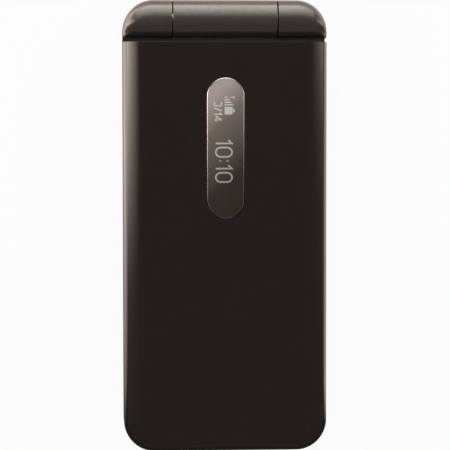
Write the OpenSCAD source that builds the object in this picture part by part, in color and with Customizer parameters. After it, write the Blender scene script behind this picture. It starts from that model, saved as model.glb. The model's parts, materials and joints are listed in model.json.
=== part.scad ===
// Folding phone with a full keypad, shut and lying on its back.
// The origin is the centre of the footprint, on the table. +X is to the right,
// +Y is towards the hinge and +Z is up, out of the lid.

/* [Body] */
// Width of the phone
body_w = 51; // [50.5:0.1:53]
// Length of the phone, hinge barrel included
body_l = 113; // [112:0.5:117]
// Thickness of the keypad half
base_h = 9.2; // [9.2:0.1:10]
// Thickness of the display half
lid_h = 7.3; // [7.3:0.1:8]
// Air gap between the halves when shut
shut_gap = 0.5; // [0.45:0.05:0.65]
// Corner radius seen from above
corner_r = 7.7; // [6.8:0.1:8.4]
// Radius of the edges round the back
bottom_r = 3.2; // [2.6:0.1:3.4]
// Radius of the edges round the front
top_r = 3.6; // [3:0.1:4]
// Wall thickness of the casings
wall = 1.2; // [1.05:0.05:1.3]
// Width of the joint line between two casings
seam = 0.15; // [0.1:0.05:0.2]
// Clearance round a piece that is seated in another
fit = 0.1; // [0.06:0.02:0.14]

/* [Hinge] */
// Radius of the hinge barrel
barrel_r = 4.7; // [4.6:0.05:4.85]
// Groove between the barrel and the lid cover
barrel_gap = 1.1; // [0.9:0.1:1.4]
// Width of the lid's knuckle
knuckle_w = 26; // [25:0.5:27]
// Gap between two knuckles
knuckle_gap = 0.25; // [0.2:0.05:0.35]
// Gap between the lid's knuckle and its trough in the base
trough_gap = 0.3; // [0.25:0.05:0.4]
// Radius of the click hinge unit
unit_r = 2.7; // [2.5:0.05:2.75]
// Radius of the hinge pin
pin_r = 1.5; // [1.3:0.1:1.7]
// Radius of the hollow hinge bush
bush_r = 2.6; // [2.4:0.05:2.7]
// Wall of the hollow hinge bush
bush_wall = 0.7; // [0.5:0.1:0.9]
// Running clearance of the hinge, on the radius
run_gap = 0.05; // [0.03:0.01:0.08]

/* [Keypad] */
// Rail of the front case beside the keypad's well
keypad_side = 3; // [2.9:0.1:3.4]
// Length of a number key
key_l = 11.3; // [10.6:0.1:11.5]
// Length of a key in the call row
call_l = 9.4; // [8.6:0.1:9.8]
// Corner radius of a key
key_r = 1.3; // [0.8:0.1:1.8]
// Side of the square direction ring
ring_w = 20; // [19:0.1:20.4]
// Corner radius of the direction ring
ring_r = 4; // [3:0.1:5]
// Side of the select key
select_w = 8; // [7.4:0.1:8.4]
// Gap between the direction ring and the keys beside it
ring_side = 1.5; // [1.3:0.1:2]
// Rib between two columns of keys
column_rib = 0.9; // [0.85:0.05:1.1]
// Rib between two rows of keys
row_rib = 1.2; // [1:0.05:1.3]
// Gap round a key in its opening
key_gap = 0.2; // [0.15:0.05:0.25]
// Width of the flange that holds a key in
key_flange = 0.4; // [0.35:0.02:0.41]
// How far a key travels
key_travel = 0.3; // [0.2:0.02:0.3]
// Depth of the well that the keypad lies in
well_depth = 0.3; // [0.2:0.05:0.4]
// Margin of the well round the keys
well_margin = 0.6; // [0.4:0.1:0.7]
// Thickness of the deck between the keys
deck_t = 0.5; // [0.45:0.05:0.55]

/* [Display half] */
// Border of the lid's face beside the clear window
glass_side = 2.5; // [2.4:0.1:3]
// Border of the lid's face at the hinge end of the clear window
glass_foot = 4.5; // [4.4:0.1:5.5]
// Border of the lid's face at the earpiece end of the clear window
glass_head = 10; // [9.8:0.1:12]
// Overlap of the clear window on each side of the display module
glass_lap = 0.8; // [0.7:0.1:1.5]
// Overlap of the clear window at the hinge end of the display module
glass_lap_foot = 5; // [4:0.1:6]
// Overlap of the clear window at the earpiece end of the display module
glass_lap_head = 3; // [2:0.1:4]
// Thickness of the main display module
display_t = 1.6; // [1.4:0.1:1.7]
// Dead rim of the display module beside the picture
display_rim = 1.05; // [0.9:0.05:1.6]
// Dead rim of the display module at the picture's ends
display_end = 2.35; // [1.6:0.05:3]
// Thickness of the clear window over the main display
glass_t = 0.7; // [0.5:0.05:0.7]
// Thickness of the lid's inner face
face_t = 1; // [0.95:0.05:1.1]
// Width of the small outer window
pill_w = 9.4; // [8.8:0.1:9.8]
// Length of the small outer window
pill_l = 35.2; // [33:0.1:37]
// Distance of the small window's centre from the phone's hinge end
pill_from_end = 37; // [36:0.5:39]
// Ledge that carries the small outer window
pill_ledge = 0.6; // [0.4:0.1:0.8]
// How far the small window stands proud of the cover
pill_proud = 0.12; // [0.05:0.01:0.2]
// Width of the earpiece slot
ear_w = 9; // [8:0.1:10]
// Length of the earpiece slot
ear_l = 1.4; // [1.1:0.1:1.6]

/* [Keypad half] */
// Thickness of the battery cover
cover_t = 0.9; // [0.8:0.05:1]
// Height of the battery cover's rim above the table
cover_h = 3; // [2.8:0.1:3.2]
// Room between the tail end and the battery bay
tail_room = 7; // [6.5:0.1:7.5]
// Width of the battery
battery_w = 38; // [36:0.5:38.5]
// Length of the battery
battery_l = 50; // [46:0.5:51]
// Thickness of the battery
battery_h = 4.2; // [4:0.05:4.2]
// Clearance round the battery in its bay
bay_clear = 0.4; // [0.3:0.05:0.5]
// Gap between the battery and the card socket
card_gap = 2.7; // [2:0.1:3]
// Width of the card socket
card_w = 14; // [12:0.5:16]
// Length of the card socket
card_l = 15; // [14:0.5:16]
// Wall round the battery bay
bay_wall = 1.1; // [0.9:0.05:1.2]
// Thickness of the main board
board_t = 0.8; // [0.6:0.05:0.8]
// Gap between the main board and the screw posts
board_gap = 1.1; // [0.8:0.1:1.4]
// Width of the camera module
camera_w = 8.4; // [7.6:0.1:8.6]
// Width of the loudspeaker
speaker_w = 12.5; // [11:0.5:12.5]
// Length of the loudspeaker
speaker_l = 9; // [8:0.5:9.5]
// Radius of the vibration motor
motor_r = 4.2; // [3.8:0.1:4.3]
// Radius of the camera window
lens_r = 4.4; // [4:0.1:4.8]
// Radius of the flash window
flash_r = 1.7; // [1.4:0.1:2]
// Width of the opening for the charging plug
port_w = 9.4; // [8.8:0.1:9.8]
// Height of the opening for the charging plug
port_h = 2.3; // [2.1:0.05:2.3]
// Length of the side key
side_key_l = 12; // [10:0.5:13]

/* [Fasteners] */
// Radius of a screw's thread
screw_r = 0.65; // [0.55:0.05:0.7]
// Radius of a screw's head
head_r = 1.2; // [1:0.05:1.2]
// Thickness of a screw's head
head_t = 0.7; // [0.6:0.05:0.7]
// Radius of a screw post
post_r = 1.7; // [1.6:0.05:1.8]

/* [Hidden] */
$fn = 64;
eps = 0.01;
far = 100;

// Heights of the halves and the hinge axis
lid_z = base_h + shut_gap;
total_h = lid_z + lid_h;
hinge_y = body_l / 2 - barrel_r;
hinge_z = total_h - barrel_r;
lid_end_y = hinge_y - barrel_r - barrel_gap;
tail_y = -body_l / 2;
tail_top_r = 3.2;
unit_bore_r = unit_r + run_gap;
bush_bore_r = bush_r + run_gap;
cap_x = knuckle_w / 2 + knuckle_gap;

// Stack of the keypad half, from the table up
seal_t = 0.2;
battery_z = cover_t + seal_t + fit;
plate_z = battery_z + battery_h + fit;
plate_t = 0.5;
casing_seam_z = plate_z + plate_t;
board_z = casing_seam_z + fit;
dome_z = board_z + board_t;
dome_sheet_t = 0.15;
dome_r = 2;
dome_h = 0.2;
key_sheet_z = dome_z + dome_sheet_t + dome_h;
key_sheet_t = 0.2;
ring_flange_t = 0.25;
key_sheet_top = key_sheet_z + key_sheet_t;
stop_gap = 0.05;
flange_z = key_sheet_top + key_travel + stop_gap;
well_z = base_h - well_depth;
deck_z = well_z - deck_t;
flange_top = deck_z - stop_gap;
key_top = base_h - stop_gap;

// Plan of the keypad, worked out from the hinge end down
keypad_w = body_w - 2 * (keypad_side + well_margin);
key_w = (keypad_w - 2 * column_rib) / 3;
column_pitch = key_w + column_rib;
well_y1 = lid_end_y - 3.9;
keys_y1 = well_y1 - well_margin;
ring_y = keys_y1 - ring_w / 2;
soft_l = (ring_w - row_rib) / 2;
soft_w = (keypad_w - ring_w) / 2 - ring_side;
soft_x = (keypad_w - soft_w) / 2;
soft_y = (soft_l + row_rib) / 2;
call_y = keys_y1 - ring_w - row_rib - call_l / 2;
row_pitch = key_l + row_rib;
first_row_y = call_y - call_l / 2 - row_rib - key_l / 2;
keys_y0 = first_row_y - 3 * row_pitch - key_l / 2;
well_y0 = keys_y0 - well_margin;
ring_hole_w = select_w + 2 * key_gap + 2 * key_flange;
web_t = 0.2;
web_w = ring_hole_w + 2.2;
ring_z = flange_z + web_t + 0.2;
ring_flange_w = ring_w + 2 * key_flange;

// Stack of the display half, from its inner face up
glass_z = lid_z + stop_gap;
glass_pocket_z = glass_z + glass_t + stop_gap;
display_z = lid_z + face_t + fit;
frame_z = display_z + display_t + fit;
frame_t = 0.4;
lid_seam_z = frame_z + frame_t;
lid_board_z = lid_seam_z + fit;
lid_board_t = 0.6;
sub_display_z = lid_board_z + lid_board_t + stop_gap;
cover_inner_z = total_h - wall;
pill_floor_z = cover_inner_z + 0.5;
pill_y = body_l / 2 - pill_from_end;
ear_y = tail_y + 6.2;
receiver_w = 11;
receiver_l = 4;
receiver_t = 1.7;
lid_board_w = 20;
lid_board_l = pill_l + 6;

// Plan of the display half
glass_w = body_w - 2 * glass_side;
glass_y0 = tail_y + glass_head;
glass_y1 = lid_end_y - glass_foot;
glass_l = glass_y1 - glass_y0;
glass_y = (glass_y0 + glass_y1) / 2;
display_w = glass_w - 2 * glass_lap;
display_y0 = glass_y0 + glass_lap_head;
display_y1 = glass_y1 - glass_lap_foot;
display_l = display_y1 - display_y0;
display_y = (display_y0 + display_y1) / 2;
picture_w = display_w - 2 * display_rim;
picture_l = display_l - 2 * display_end;

// Battery end of the keypad half, from the tail up
bay_w = battery_w + 2 * bay_clear;
bay_y0 = tail_y + tail_room;
battery_y = bay_y0 + bay_clear + battery_l / 2;
card_y = battery_y + battery_l / 2 + card_gap + card_l / 2;
bay_y1 = card_y + card_l / 2 + 1;
bay_rim_z = cover_t + seal_t + stop_gap;
cover_end_y = bay_y1 + bay_wall + 1.3;
tab_l = 5;
tab_y = [tail_y + 29.5, tail_y + 46.5, tail_y + 63.5];
strap_y = tail_y + 22.5;
strap_hole = [2, 1.7];
strap_bar = 2;

// Camera end of the keypad half, from the battery cover up
rear_bay_y0 = cover_end_y + seam + wall;
can_w = 24;
can_l = 8;
can_h = 1.8;
can_t = 0.2;
can_y = rear_bay_y0 + 0.8 + can_l / 2;
can_end_y = can_y + can_l / 2;
lens_x = -5;
lens_y = can_end_y + 1.65 + camera_w / 2;
lens_seat = 0.85;
flash_x = lens_x + lens_r + 4;
speaker_x = body_w / 2 - 6.55 - speaker_w / 2;
speaker_y = can_end_y + 0.85 + speaker_l / 2;
motor_x = -body_w / 2 + 4.1 + motor_r;
motor_y = can_end_y + 1.85 + motor_r;
motor_h = 2.5;
motor_z = board_z - 0.3 - motor_h;
socket_w = 7.6;
socket_l = 5.2;
port_y = cover_end_y + 7;
port_z = casing_seam_z - 1.4;
side_key_y = cover_end_y + 3 + side_key_l / 2;
side_key_h = 2.1;
side_key_z = casing_seam_z - 1.5;
side_flange = 0.6;

// Room between the keys and the tail wall, for the microphone and two screws
keys_foot_y = (keys_y0 - key_flange + tail_y + wall) / 2;
mic_y = keys_foot_y;

// Screws: [x, y] of those on the right, mirrored to the left
base_screws_low = [(bay_w / 2 + bay_wall + body_w / 2) / 2, keys_foot_y];
base_screws_high = [body_w / 2 - 4.5, (motor_y + motor_r + body_l / 2 - wall) / 2];
lid_screws_low = [body_w / 2 - 4, tail_y + 6.2];
lid_screws_high = [body_w / 2 - 4, lid_end_y - 2.1];
bumper_r = head_r + fit;
bumper_bore_r = bumper_r + fit / 2;
screw_bore_r = screw_r + fit / 2;

// Main board: beside the keys, and its wider wing at the hinge end
board_w = 2 * (base_screws_low.x - post_r - board_gap);
board_wing_w = body_w - 2 * wall - 2.2;
board_y0 = tail_y + 4.5;
board_y1 = min(hinge_y - 9.8, base_screws_high.y - post_r - 0.6);

// ---- Shapes that the pieces share ----

// Rectangle from p0 to p1 with its own radius at each corner:
// lower left, lower right, upper right, upper left
module rounded(p0, p1, r) {
  polygon([
    [p0.x + r[0], p0.y], [p1.x - r[1], p0.y],
    [p1.x, p0.y + r[1]], [p1.x, p1.y - r[2]],
    [p1.x - r[2], p1.y], [p0.x + r[3], p1.y],
    [p0.x, p1.y - r[3]], [p0.x, p0.y + r[0]]
  ]);
  translate([p0.x + r[0], p0.y + r[0]]) circle(r[0]);
  translate([p1.x - r[1], p0.y + r[1]]) circle(r[1]);
  translate([p1.x - r[2], p1.y - r[2]]) circle(r[2]);
  translate([p0.x + r[3], p1.y - r[3]]) circle(r[3]);
}

// Plate of width w and length l, centred on [x, y], between two heights
module plate(x, y, w, l, z0, z1, r) {
  translate([x, y, z0])
    linear_extrude(z1 - z0)
      rounded([-w / 2, -l / 2], [w / 2, l / 2], [r, r, r, r]);
}

module box(x0, x1, y0, y1, z0, z1) {
  translate([x0, y0, z0]) cube([x1 - x0, y1 - y0, z1 - z0]);
}

// Upright cylinder between two heights
module post(x, y, r, z0, z1) {
  translate([x, y, z0]) cylinder(r = r, h = z1 - z0);
}

// Cylinder on the hinge axis between two values of x
module axle(r, x0, x1) {
  translate([x0, hinge_y, hinge_z]) rotate([0, 90, 0]) cylinder(r = r, h = x1 - x0);
}

// The phone's plan and its cross-section, swept square to themselves
module plan_and_section(inset = 0) {
  half_w = body_w / 2 - inset;
  half_l = body_l / 2 - inset;
  corner = corner_r - inset;
  back = bottom_r - inset;
  intersection() {
    translate([0, 0, inset])
      linear_extrude(total_h - 2 * inset)
        rounded([-half_w, -half_l], [half_w, half_l], [corner, corner, corner, corner]);
    rotate([90, 0, 0])
      linear_extrude(body_l + 2, center = true)
        rounded([-half_w, inset], [half_w, total_h - inset],
          [back, back, top_r - inset, top_r - inset]);
  }
}

// Outer form of the shut phone, taken in by inset on every side: its plan and
// cross-section cut by its side view
module envelope(inset = 0) {
  half_l = body_l / 2 - inset;
  back = bottom_r - inset;
  intersection() {
    plan_and_section(inset);
    rotate([90, 0, 90])
      linear_extrude(body_w + 2, center = true)
        rounded([-half_l, inset], [half_l, total_h - inset],
          [back, back, barrel_r - inset, tail_top_r - inset]);
  }
}

// The part of the envelope between two heights and two values of y
module slice(z0, z1, y0 = -far, y1 = far, inset = 0) {
  intersection() {
    envelope(inset);
    box(-far, far, y0, y1, z0, z1);
  }
}

module both_sides() {
  children();
  mirror([1, 0, 0]) children();
}

// ---- Display half ----

module lid_cover() {
  color([0.15, 0.13, 0.12])
    difference() {
      union() {
        difference() {
          slice(lid_seam_z + seam, far, -far, lid_end_y);
          slice(0, far, -far, lid_end_y - wall, wall);
        }
        intersection() {
          envelope(wall / 2);
          both_sides()
            for (p = [lid_screws_low, lid_screws_high])
              post(p.x, p.y, post_r, lid_seam_z + seam, total_h);
        }
      }
      plate(0, pill_y, pill_w + fit, pill_l + fit, pill_floor_z, far, (pill_w + fit) / 2);
      plate(0, pill_y, pill_w - 2 * pill_ledge, pill_l - 2 * pill_ledge,
        0, far, pill_w / 2 - pill_ledge);
      both_sides()
        for (p = [lid_screws_low, lid_screws_high])
          post(p.x, p.y, screw_bore_r, 0, cover_inner_z - 0.4);
    }
}

module lid_case() {
  inner_end = lid_end_y - wall;
  color([0.25, 0.22, 0.20])
    difference() {
      union() {
        difference() {
          slice(lid_z, lid_seam_z, -far, lid_end_y);
          slice(lid_z + face_t, far, -far, inner_end, wall);
        }
        intersection() {
          envelope(wall / 2);
          both_sides()
            for (p = [lid_screws_low, lid_screws_high])
              post(p.x, p.y, post_r, lid_z, lid_seam_z);
        }
        // Arm and lower half of the knuckle
        box(-knuckle_w / 2, knuckle_w / 2, inner_end, hinge_y, lid_z, hinge_z);
        intersection() {
          axle(barrel_r, -knuckle_w / 2, knuckle_w / 2);
          box(-far, far, 0, far, 0, hinge_z);
        }
      }
      knuckle_bores();
      plate(0, glass_y, glass_w + fit, glass_l + fit, 0, glass_pocket_z, 2);
      plate(0, display_y, picture_w + 1, picture_l + 1, 0, lid_z + face_t + eps, 0.6);
      plate(0, ear_y, ear_w, ear_l, 0, lid_z + face_t + eps, ear_l / 2 - eps);
      both_sides()
        for (p = [lid_screws_low, lid_screws_high]) {
          post(p.x, p.y, bumper_bore_r, 0, lid_z + 0.7 + head_t);
          post(p.x, p.y, screw_bore_r, 0, far);
        }
    }
}

// Room in the lid's knuckle for the click unit on the left and the bush on the right
module knuckle_bores() {
  axle(unit_bore_r, -knuckle_w / 2 - 1, -1);
  axle(bush_bore_r, 3, knuckle_w / 2 + 1);
}

module lid_knuckle() {
  color([0.30, 0.27, 0.24])
    difference() {
      intersection() {
        axle(barrel_r, -knuckle_w / 2, knuckle_w / 2);
        box(-far, far, 0, far, hinge_z, far);
      }
      knuckle_bores();
    }
}

module sub_window() {
  color([0.45, 0.41, 0.40])
    plate(0, pill_y, pill_w, pill_l, pill_floor_z, total_h + pill_proud, pill_w / 2 - eps);
}

module sub_display() {
  color([0.1, 0.1, 0.1])
    plate(0, pill_y, pill_w - 2 * pill_ledge - 0.4, pill_l - 6,
      sub_display_z, cover_inner_z - fit, 0.5);
}

module display_window() {
  color([0.05, 0.05, 0.06])
    plate(0, glass_y, glass_w, glass_l, glass_z, glass_z + glass_t, 2);
}

module main_display() {
  color([0.08, 0.09, 0.12])
    difference() {
      plate(0, display_y, display_w, display_l, display_z, display_z + display_t, 0.8);
      // Step of the display's own rim round the picture
      plate(0, display_y, picture_w, picture_l, 0, display_z + 0.1, 0.3);
    }
}

module display_frame() {
  color([0.6, 0.6, 0.62])
    difference() {
      plate(0, display_y, display_w + 1, display_l + 2, frame_z, frame_z + frame_t, 1.2);
      for (y = [-25, 0, 25])
        plate(0, display_y + y, 24, 12, 0, far, 2);
    }
}

module lid_board() {
  color([0.1, 0.3, 0.2])
    plate(0, pill_y - 2, lid_board_w, lid_board_l, lid_board_z, lid_board_z + lid_board_t, 1);
}

module receiver() {
  color([0.2, 0.2, 0.2])
    plate(0, ear_y, receiver_w, receiver_l, display_z, display_z + receiver_t, 0.8);
}

// Woven mesh that fills the earpiece slot
module receiver_mesh() {
  mesh_pitch = 0.9;
  color([0.35, 0.35, 0.36])
    difference() {
      plate(0, ear_y, ear_w - fit, ear_l - fit,
        lid_z + 0.3, lid_z + face_t, (ear_l - fit) / 2 - eps);
      for (i = [-4:4])
        post(i * mesh_pitch, ear_y, 0.25, 0, far);
    }
}

module lid_bumpers() {
  bumper_z = base_h + stop_gap;
  color([0.08, 0.08, 0.08])
    both_sides()
      for (p = [lid_screws_low, lid_screws_high])
        post(p.x, p.y, bumper_r, bumper_z, lid_z + 0.7 - stop_gap);
}

// Screw whose head lies at z, with its thread going up from the head
module screw(p, z, length) {
  post(p.x, p.y, head_r, z, z + head_t);
  post(p.x, p.y, screw_r, z + head_t - eps, z + head_t + length);
}

module lid_screws() {
  length = cover_inner_z - 0.6 - (lid_z + 0.7 + head_t);
  color([0.7, 0.7, 0.7])
    both_sides()
      for (p = [lid_screws_low, lid_screws_high])
        difference() {
          screw(p, lid_z + 0.7, length);
          post(p.x, p.y, 0.45, 0, lid_z + 0.7 + 0.4);
        }
}

module hinge_unit() {
  color([0.75, 0.75, 0.77])
    difference() {
      axle(unit_r, -knuckle_w / 2 + fit, -1 - fit);
      axle(pin_r + run_gap, -knuckle_w / 2 - 1, -3);
    }
}

// ---- Keypad half: casings ----

module key_opening(x, y, w, l, r) {
  plate(x, y, w + 2 * key_gap, l + 2 * key_gap, 0, far, r + key_gap);
}

module base_front_case() {
  color([0.22, 0.19, 0.17])
    difference() {
      union() {
        difference() {
          slice(casing_seam_z + seam, base_h);
          slice(0, deck_z, -far, board_y1 + 3.2, wall);
        }
        intersection() {
          envelope(wall / 2);
          both_sides()
            for (p = [base_screws_low, base_screws_high])
              post(p.x, p.y, post_r - 0.2, casing_seam_z + seam, base_h - 0.1);
        }
      }
      // Well and key openings
      plate(0, (well_y0 + well_y1) / 2, keypad_w + 2 * well_margin, well_y1 - well_y0,
        well_z, far, 2.4);
      key_opening(0, ring_y, ring_w, ring_w, ring_r);
      for (side = [-1, 1], up = [-1, 1])
        key_opening(side * soft_x, ring_y + up * soft_y, soft_w, soft_l, key_r);
      for (column = [-1:1]) {
        key_opening(column * column_pitch, call_y, key_w, call_l, key_r);
        for (row = [0:3])
          key_opening(column * column_pitch, first_row_y - row * row_pitch,
            key_w, key_l, key_r);
      }
      // Trough of the lid's knuckle
      axle(barrel_r + trough_gap, -cap_x, cap_x);
      // Mouth of the microphone
      post(0, mic_y, 0.5, 0, far);
      both_sides()
        for (p = [base_screws_low, base_screws_high])
          post(p.x, p.y, screw_bore_r, 0, deck_z - 0.1);
    }
}

module base_rear_case() {
  ring_wall = wall + fit;
  color([0.20, 0.17, 0.15])
    difference() {
      union() {
        // Rim above the battery cover, and the whole depth at the camera end
        difference() {
          union() {
            slice(cover_h + seam, casing_seam_z);
            slice(0, casing_seam_z, cover_end_y + seam);
          }
          slice(0, far, -far, far, wall);
        }
        // Wall between the battery cover and the camera end
        slice(0, casing_seam_z, cover_end_y + seam, rear_bay_y0);
        // Plate over the battery
        slice(plate_z, casing_seam_z, -far, rear_bay_y0, wall - eps);
        // Bay walls
        difference() {
          plate(0, (bay_y0 + bay_y1) / 2, bay_w + 2 * bay_wall,
            bay_y1 - bay_y0 + 2 * bay_wall, bay_rim_z, casing_seam_z, 1.5);
          plate(0, (bay_y0 + bay_y1) / 2, bay_w, bay_y1 - bay_y0, 0, plate_z, 0.8);
        }
        intersection() {
          envelope(wall / 2);
          both_sides() {
            post(base_screws_low.x, base_screws_low.y, post_r, cover_h + seam, casing_seam_z);
            post(base_screws_high.x, base_screws_high.y, post_r, 0, casing_seam_z);
          }
        }
      }
      screw_holes(base_screws_low, cover_h + seam + 0.9);
      screw_holes(base_screws_high, 0.6 + head_t);
      // Camera and flash windows
      post(lens_x, lens_y, lens_r + fit, -1, lens_seat);
      post(lens_x, lens_y, lens_r - 1, -1, wall + eps);
      post(flash_x, lens_y, flash_r + fit, -1, lens_seat);
      post(flash_x, lens_y, flash_r - 0.6, -1, wall + eps);
      // Loudspeaker slots
      for (i = [-2:2])
        plate(speaker_x, speaker_y + i * 1.5, 8, 0.7, -1, wall + eps, 0.35 - eps);
      // Charging port and side key
      box(-far, -body_w / 2 + ring_wall, port_y - port_w / 2, port_y + port_w / 2,
        port_z - port_h / 2, port_z + port_h / 2);
      box(body_w / 2 - ring_wall, far, side_key_y - side_key_l / 2 - key_gap,
        side_key_y + side_key_l / 2 + key_gap,
        side_key_z - side_key_h / 2 - key_gap, side_key_z + side_key_h / 2 + key_gap);
      // Two strap holes with a bar between them
      for (side = [-1, 1])
        translate([body_w / 2 - ring_wall, strap_y + side * (strap_bar + strap_hole.x) / 2
            - strap_hole.x / 2, cover_h + 0.8])
          cube([far, strap_hole.x, strap_hole.y]);
    }
}

module screw_holes(p, head_z) {
  both_sides() {
    post(p.x, p.y, head_r + fit, -1, head_z);
    post(p.x, p.y, screw_bore_r, -1, far);
  }
}

// Shell of a base knuckle, standing on the front case on the right of the phone
module knuckle_cap(bore_r, bore_end) {
  difference() {
    intersection() {
      plan_and_section();
      translate([cap_x, 0, 0])
        rotate([90, 0, 90])
          linear_extrude(body_w)
            intersection() {
              union() {
                translate([hinge_y, hinge_z]) circle(barrel_r);
                translate([hinge_y - barrel_r, base_h])
                  square([2 * barrel_r, hinge_z - base_h]);
              }
              translate([0, base_h]) square([far, far]);
            }
    }
    axle(bore_r, 0, bore_end);
  }
}

module left_knuckle_cap() {
  color([0.30, 0.27, 0.24])
    mirror([1, 0, 0]) knuckle_cap(unit_bore_r, cap_x + 8);
}

module right_knuckle_cap() {
  color([0.30, 0.27, 0.24])
    knuckle_cap(bush_bore_r, cap_x + 8);
}

// Fixed shaft of the click hinge: its head is keyed into the left knuckle
module hinge_shaft() {
  color([0.8, 0.8, 0.82])
    difference() {
      union() {
        axle(unit_r, -cap_x - 8 + fit, -cap_x);
        axle(pin_r, -cap_x - 1, -4);
      }
      // Flat that keys the head
      box(-far, -cap_x - 1.5, hinge_y - far, hinge_y + far, hinge_z + unit_r - 0.5, far);
    }
}

module hinge_bush() {
  color([0.8, 0.7, 0.4])
    difference() {
      axle(bush_r, 4, cap_x + 8 - fit);
      axle(bush_r - bush_wall, 0, far);
    }
}

// Flexible circuit, rolled where it passes through the bush
module hinge_flex() {
  roll_r = bush_r - bush_wall - 0.25;
  color([0.75, 0.45, 0.15])
    difference() {
      axle(roll_r, 4.6, cap_x + 7);
      axle(roll_r - 0.3, 0, far);
      // Open edge of the roll
      box(0, far, hinge_y - 0.25, hinge_y + 0.25, hinge_z, hinge_z + far);
    }
}

// ---- Keypad half: inner pieces ----

module main_board() {
  wing_y = rear_bay_y0 + 0.5;
  switch_x = board_wing_w / 2;
  color([0.1, 0.32, 0.2]) {
    plate(0, (board_y0 + board_y1) / 2, board_w, board_y1 - board_y0,
      board_z, board_z + board_t, 2);
    plate(0, (wing_y + board_y1) / 2, board_wing_w, board_y1 - wing_y,
      board_z, board_z + board_t, 1);
  }
  // Switch behind the side key, and the microphone
  color([0.15, 0.15, 0.15]) {
    box(switch_x - 1.7, switch_x - 0.1, side_key_y - 3, side_key_y + 3,
      side_key_z - 0.9, board_z + eps);
    box(-1.6, 1.6, mic_y - 1.1, mic_y + 1.1, board_z + board_t - eps, deck_z - fit);
  }
}

module shield_can() {
  color([0.72, 0.72, 0.72])
    difference() {
      plate(1.5, can_y, can_w, can_l, board_z - can_h, board_z - stop_gap, 0.8);
      plate(1.5, can_y, can_w - 2 * can_t, can_l - 2 * can_t, board_z - can_h + can_t, far, 0.6);
    }
}

// Calls its child at every key: [x, y] of each in turn
module at_keys() {
  for (side = [-1, 1], up = [-1, 1])
    translate([side * soft_x, ring_y + up * soft_y, 0]) children();
  for (turn = [0:3])
    translate([0, ring_y, 0])
      rotate(90 * turn) translate([ring_w * 0.36, 0, 0]) children();
  translate([0, ring_y, 0]) children();
  for (column = [-1:1]) {
    translate([column * column_pitch, call_y, 0]) children();
    for (row = [0:3])
      translate([column * column_pitch, first_row_y - row * row_pitch, 0]) children();
  }
}

// Film with a snap dome under each key
module dome_sheet() {
  color([0.8, 0.8, 0.82]) {
    plate(0, (keys_y0 + keys_y1) / 2, board_w - 1, keys_y1 - keys_y0 - 1,
      dome_z, dome_z + dome_sheet_t, 2);
    at_keys() translate([0, 0, dome_z + dome_sheet_t - eps])
      cylinder(r1 = dome_r, r2 = dome_r * 0.6, h = dome_h - fit / 2);
  }
}

module key_sheet() {
  color([0.85, 0.85, 0.85])
    plate(0, (keys_y0 + keys_y1) / 2, board_w - 0.6, keys_y1 - keys_y0 - 0.6,
      key_sheet_z, key_sheet_top, 2.2);
}

module vibration_motor() {
  color([0.7, 0.7, 0.72]) {
    post(motor_x, motor_y, motor_r, motor_z, motor_z + motor_h);
    post(motor_x, motor_y, motor_r - 0.6, motor_z + motor_h - eps, board_z - stop_gap);
  }
}

module speaker() {
  color([0.12, 0.12, 0.12])
    difference() {
      plate(speaker_x, speaker_y, speaker_w, speaker_l, wall + fit, board_z - 1, 1.5);
      plate(speaker_x, speaker_y, speaker_w - 3, speaker_l - 2, 0, wall + fit + 0.5, 1);
    }
}

module camera_module() {
  color([0.1, 0.1, 0.1])
    difference() {
      union() {
        plate(lens_x, lens_y, camera_w, camera_w, wall + 1, board_z - stop_gap, 0.6);
        post(lens_x, lens_y, lens_r - 1.2, lens_seat + 0.1, wall + 1 + eps);
      }
      post(lens_x, lens_y, 1.3, 0, wall + 0.4);
    }
}

module camera_window() {
  color([0.05, 0.05, 0.06])
    post(lens_x, lens_y, lens_r, stop_gap, lens_seat);
}

module flash_window() {
  color([0.9, 0.9, 0.85])
    post(flash_x, lens_y, flash_r, stop_gap, lens_seat);
}

module usb_socket() {
  socket_x = -body_w / 2 + wall + 0.5;
  color([0.75, 0.75, 0.76])
    difference() {
      box(socket_x, socket_x + socket_l, port_y - socket_w / 2, port_y + socket_w / 2,
        port_z - 1.1, board_z - stop_gap);
      difference() {
        box(socket_x - 1, socket_x + socket_l - 0.8, port_y - socket_w / 2 + 0.3,
          port_y + socket_w / 2 - 0.3, port_z - 0.8, port_z + 0.8);
        // Tongue of the socket
        box(socket_x + 0.8, far, port_y - 2.6, port_y + 2.6, port_z - 0.3, port_z + 0.3);
      }
    }
}

module sim_socket() {
  color([0.72, 0.72, 0.72])
    difference() {
      plate(0, card_y, card_w, card_l, plate_z - 1.5, plate_z - stop_gap, 0.8);
      box(-card_w / 2 + 0.8, card_w / 2 - 0.8, card_y - far, card_y + card_l / 2 - 1.5,
        plate_z - 1.2, plate_z - 0.4);
    }
}

module battery() {
  color([0.15, 0.15, 0.16])
    plate(0, battery_y, battery_w, battery_l, battery_z, battery_z + battery_h, 1.4);
}

module base_screws() {
  color([0.7, 0.7, 0.7])
    both_sides() {
      difference() {
        screw(base_screws_low, cover_h + seam + 0.9 - head_t, 3.6);
        post(base_screws_low.x, base_screws_low.y, 0.45, 0, cover_h + seam + 0.5);
      }
      difference() {
        screw(base_screws_high, 0.6, deck_z - 0.3 - 0.6 - head_t);
        post(base_screws_high.x, base_screws_high.y, 0.45, 0, 0.6 + 0.4);
      }
    }
}

module battery_cover() {
  color([0.20, 0.17, 0.15]) {
    difference() {
      slice(-1, cover_h, -far, cover_end_y);
      slice(-1, far, -far, cover_end_y + 1, cover_t);
    }
    // Tabs that snap inside the rear case's rim
    intersection() {
      envelope(cover_t / 2);
      both_sides()
        for (y = tab_y)
          box(body_w / 2 - wall - 0.9, body_w / 2 - wall - fit, y - tab_l / 2,
            y + tab_l / 2, cover_t / 2, cover_h + 1.2);
    }
  }
}

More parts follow.
